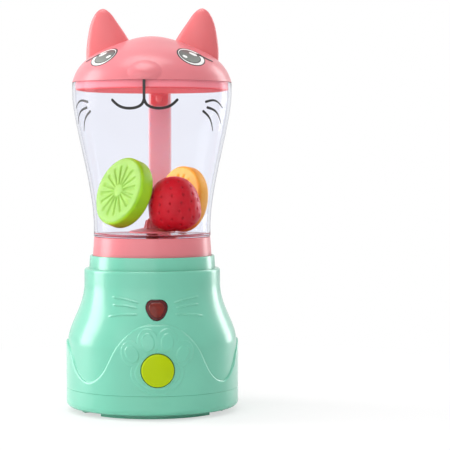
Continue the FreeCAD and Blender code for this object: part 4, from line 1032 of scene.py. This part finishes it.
def make_ear(way, node):
    """An ear: ellipses that shrink towards a rounded tip, sunk a little into the dome."""
    count, rows, samples = 72, 60, 400
    table = np.array(ear_levels) * MM
    middles = spline(table[:, [0, 1]], samples)
    half_widths = spline(table[:, [0, 2]], samples, None, (0, -1))
    half_depths = spline(table[:, [0, 3]], samples, None, (0, -1))
    verts = []
    for i in range(rows):
        t = i / (rows - 1)
        place = min(int(round((samples - 1) * (1 - (1 - t) ** 1.5))), samples - 2)
        height, half_w = half_widths[place]
        half_d = np.interp(height, half_depths[:, 0], half_depths[:, 1])
        middle = np.interp(height, middles[:, 0], middles[:, 1])
        for k in range(count):
            a = 2 * pi * k / count
            x, y = way * middle + half_w * cos(a), ear_back + half_d * sin(a)
            verts.append(face_rotation @ Vector((x, y, lid_z + height)))
    tip_height, tip_middle = table[-1][:2]
    verts.append(face_rotation @ Vector((way * tip_middle, ear_back, lid_z + tip_height)))
    faces = grid_faces(rows, count) + fan((rows - 1) * count, count, rows * count)
    # the ears take the coral finish, painted shade on the lid's pink
    add_mesh(node + "_shell", verts, faces, coral, "lid", [node], sharp=60.0)


def make_face_prints():
    """Eyes and lashes, laid on the dome layer over layer."""
    skin = Skin(dome_points(jar_rim_r, dome_top - lid_z, lid_z, 200))
    layers = [
        ("outline", eye_centre, eye_half, black_ink, 0, 0.25),
        ("white", white_centre, eye_half, white_ink, 1, -0.7),
        ("rim", iris_centre, iris_half, black_ink, 2, 0.5),
        ("iris", iris_centre, iris_half, grey_ink, 3, -0.1),
    ]
    layers += [(f"glint{i + 1}", centre, half, white_ink, 4, 0.0) for i, (centre, half) in enumerate(glints)]
    for way, side_name in ((-1, "left"), (1, "right")):
        for label, centre, half, ink, layer, grow in layers:
            patch(
                f"eye_{label}_{side_name}", skin, (way * centre[0], centre[1] * MM),
                (half[0] + grow) * MM, (half[1] + grow) * MM, eye_lean, ink, "lid",
                eye_lift + layer * ink_step,
            )
        stops = [(way * angle, along * MM) for angle, along in lash]
        stroke("lash_" + side_name, skin, stops, lash_w, "lid", lash_lift, taper=0.55)


# ==== play fruit
def slice_profile(radius, thickness, rounding):
    """The edge of a slice, from its lower face to its upper one."""
    half = thickness / 2
    profile = Profile(radius - rounding, -half)
    profile.quarter(radius, -half + rounding, upright=False, steps=8).line(radius, half - rounding)
    return profile.quarter(radius - rounding, half, steps=8).points


def make_slice(fruit, radius, thickness, rounding, way, at, peel, flesh):
    """A citrus slice: peel round the edge, rays pressed into both faces."""
    edge = slice_profile(radius, thickness, rounding)
    count, rings = 384, 48
    angles = np.linspace(0, 2 * pi, count, endpoint=False)

    def ring_at(r, heights):
        return [(r * cos(a), r * sin(a), z) for a, z in zip(angles, heights)]

    def face_rows(sign):
        rows = []
        for i in range(1, rings):
            r = edge[-1][0] * i / rings
            from_ray = r * np.abs(np.sin(angles * ray_count / 2)) * 2 / ray_count
            ray = np.exp(-(from_ray / (ray_half + ray_growth * r)) ** 4)
            reach = smooth_step(r, ray_start[0] * radius, ray_start[1] * radius)
            reach = reach * (1 - smooth_step(r, ray_end[0] * radius, ray_end[1] * radius))
            rows.append(ring_at(r, sign * (thickness / 2 - ray_depth * ray * reach)))
        return rows

    low_rows = face_rows(-1)
    side_rows = [ring_at(r, [z] * count) for r, z in edge]
    rows = low_rows + side_rows + face_rows(1)[::-1]
    verts = [v for row in rows for v in row]
    pole = len(verts)
    verts += [(0, 0, -thickness / 2), (0, 0, thickness / 2)]
    faces = grid_faces(len(rows), count)
    faces += [tuple(reversed(face)) for face in fan(0, count, pole)]
    faces += fan(pole - count, count, pole + 1)
    move = facing(way, at)
    node = fruit + "_slice"
    verts = [move @ Vector(v) for v in verts]
    piece = add_mesh(fruit, verts, faces, peel, node, [node], sharp=60.0)
    # the flesh reaches some rows round the edge on both sides, up to the peel
    peel_first, peel_last = len(low_rows) + flesh_rows, len(low_rows) + len(side_rows) - flesh_rows - 1
    second_material(piece, flesh, lambda polygon: not peel_first <= polygon.vertices[0] // count < peel_last)


def make_berry():
    """The strawberry, with seed pits in slanting rows."""
    stops = [(r * berry_h, h * berry_h) for r, h in berry_shape]
    outline = spline(stops, 180, (1, 0), (-1, 0))
    outline[0][0] = outline[-1][0] = 0
    way = way_along(outline)
    pits = []
    for i in range(pit_rows):
        place = way[-1] * (pit_first + pit_span * i / (pit_rows - 1))
        r = np.interp(place, way, outline[:, 0])
        number = max(5, int(2 * pi * r / pit_pitch))
        pits += [(place, 2 * pi * (k + 0.5 * (i % 2)) / number) for k in range(number)]
    count = 320
    verts, depths = [], []
    angles = np.linspace(0, 2 * pi, count, endpoint=False)
    for i, (r, z) in enumerate(outline):
        if r == 0:
            verts.append((0, 0, z))
            depths.append(0)
            continue
        drop = np.zeros(count)
        for place, a in pits:
            if abs(place - way[i]) < pit_reach:
                across = np.angle(np.exp(1j * (angles - a))) * r
                far = np.hypot(across / pit_half_w, (way[i] - place) / pit_half_h)
                drop = np.maximum(drop, pit_depth * np.exp(-far ** 2))
        depths += list(drop)
        ahead = outline[min(i + 1, len(outline) - 1)] - outline[max(i - 1, 0)]
        normal = np.array([ahead[1], -ahead[0]]) / np.linalg.norm(ahead)
        for a, d in zip(angles, drop):
            sunk_r, sunk_z = r - normal[0] * d, z - normal[1] * d
            verts.append((sunk_r * cos(a), sunk_r * sin(a), sunk_z))
    faces = lathe_mesh([tuple(p) for p in outline], count)[1]
    lean = (-sin(radians(berry_lean)), 0, cos(radians(berry_lean)))
    move = facing(lean, berry_at)
    verts = [move @ Vector(v) for v in verts]
    berry = add_mesh("berry", verts, faces, berry_red, "strawberry", ["strawberry"], sharp=80.0)
    # painted shade: darker red in the deeper part of each seed pit
    second_material(
        berry, berry_pit_shade, lambda polygon: min(depths[i] for i in polygon.vertices) > pit_shade_depth,
    )


# ==== stage
white = (1, 1, 1, 1)
world_strength = 0.42
floor_half = 3.0


def make_world():
    """Plain soft light, and a white that camera, gloss and glass see."""
    world = bpy.data.worlds.new("studio")
    bpy.context.scene.world = world
    world.use_nodes = True
    tree = Tree(world.node_tree, "World Output")
    light = tree.tree.nodes["Background"]
    light.inputs["Color"].default_value = white
    light.inputs["Strength"].default_value = world_strength
    seen = tree.add("ShaderNodeBackground", Color=white, Strength=1.0)
    path = tree.add("ShaderNodeLightPath").outputs
    camera_or_gloss = tree.combine("MAXIMUM", path["Is Camera Ray"], path["Is Glossy Ray"])
    direct = tree.combine("MAXIMUM", camera_or_gloss, path["Is Transmission Ray"])
    tree.mix_shaders(direct, light, seen)


def make_floor():
    """A pale floor that fades to white away from the object."""
    data = bpy.data.meshes.new("floor")
    corners = [(x * floor_half, y * floor_half, 0) for x, y in ((-1, -1), (1, -1), (1, 1), (-1, 1))]
    data.from_pydata(corners, [], [(0, 1, 2, 3)])
    floor = bpy.data.objects.new("floor", data)
    bpy.context.scene.collection.objects.link(floor)
    nodes = Nodes("floor_white")
    nodes.same(Base_Color=(0.93, 0.93, 0.93, 1), Roughness=0.6)
    glow = nodes.add("ShaderNodeEmission", Color=white, Strength=1.0)
    path = nodes.add("ShaderNodeLightPath").outputs
    direct = nodes.combine("MAXIMUM", path["Is Camera Ray"], path["Is Transmission Ray"])
    far = nodes.between(nodes.length(nodes.place), 0.6, 1.0, 0.08, 0.42)
    nodes.mix_shaders(nodes.combine("MULTIPLY", direct, far), nodes.shader, glow)
    data.materials.append(nodes.material)


# place, size and power of each lamp; all of them look at the middle of the toy
lamps = {
    "left": ((-1.25, 0.30, 0.45), (0.6, 1.3), 15),
    "right": ((1.1, 0.75, 0.40), (0.4, 1.3), 8),
    "top": ((-0.15, -0.15, 1.35), (0.8, 0.8), 9),
    "front": ((-0.7, -1.4, 0.5), (1.8, 1.4), 8),
}
lamp_target = Vector((0, 0, 0.13))


def make_lamps():
    for name, (at, size, power) in lamps.items():
        data = bpy.data.lights.new(name, "AREA")
        data.shape = "RECTANGLE"
        data.size, data.size_y = size
        data.energy = power
        lamp = bpy.data.objects.new(name, data)
        bpy.context.scene.collection.objects.link(lamp)
        lamp.location = at
        lamp.rotation_euler = (lamp_target - Vector(at)).to_track_quat("-Z", "Y").to_euler()


def make_camera():
    data = bpy.data.cameras.new("camera")
    data.lens = camera_lens
    data.sensor_width = camera_sensor
    camera = bpy.data.objects.new("camera", data)
    bpy.context.scene.collection.objects.link(camera)
    bpy.context.scene.camera = camera
    turn = radians(camera_azimuth)
    x, y = camera_distance * sin(turn), -camera_distance * cos(turn)
    camera.location = (x, y, camera_height)
    camera.rotation_euler = (radians(90 - camera_pitch), 0, radians(-camera_heading))


# ==== build
bpy.context.scene.view_settings.view_transform = "Standard"
make_camera()
make_world()
make_floor()
make_lamps()
dress_nodes()
make_housing()
make_nose_lens()
make_button()
make_socket_ring()
make_jar()
make_jar_prints()
make_collar()
make_lid()
make_ear(-1, "ear_left")
make_ear(1, "ear_right")
make_face_prints()
make_slice("lime", lime_r, lime_t, lime_round, lime_facing, lime_at, lime_peel, lime_flesh)
make_slice("orange", orange_r, orange_t, orange_round, orange_facing, orange_at, orange_flesh, orange_flesh)
make_berry()
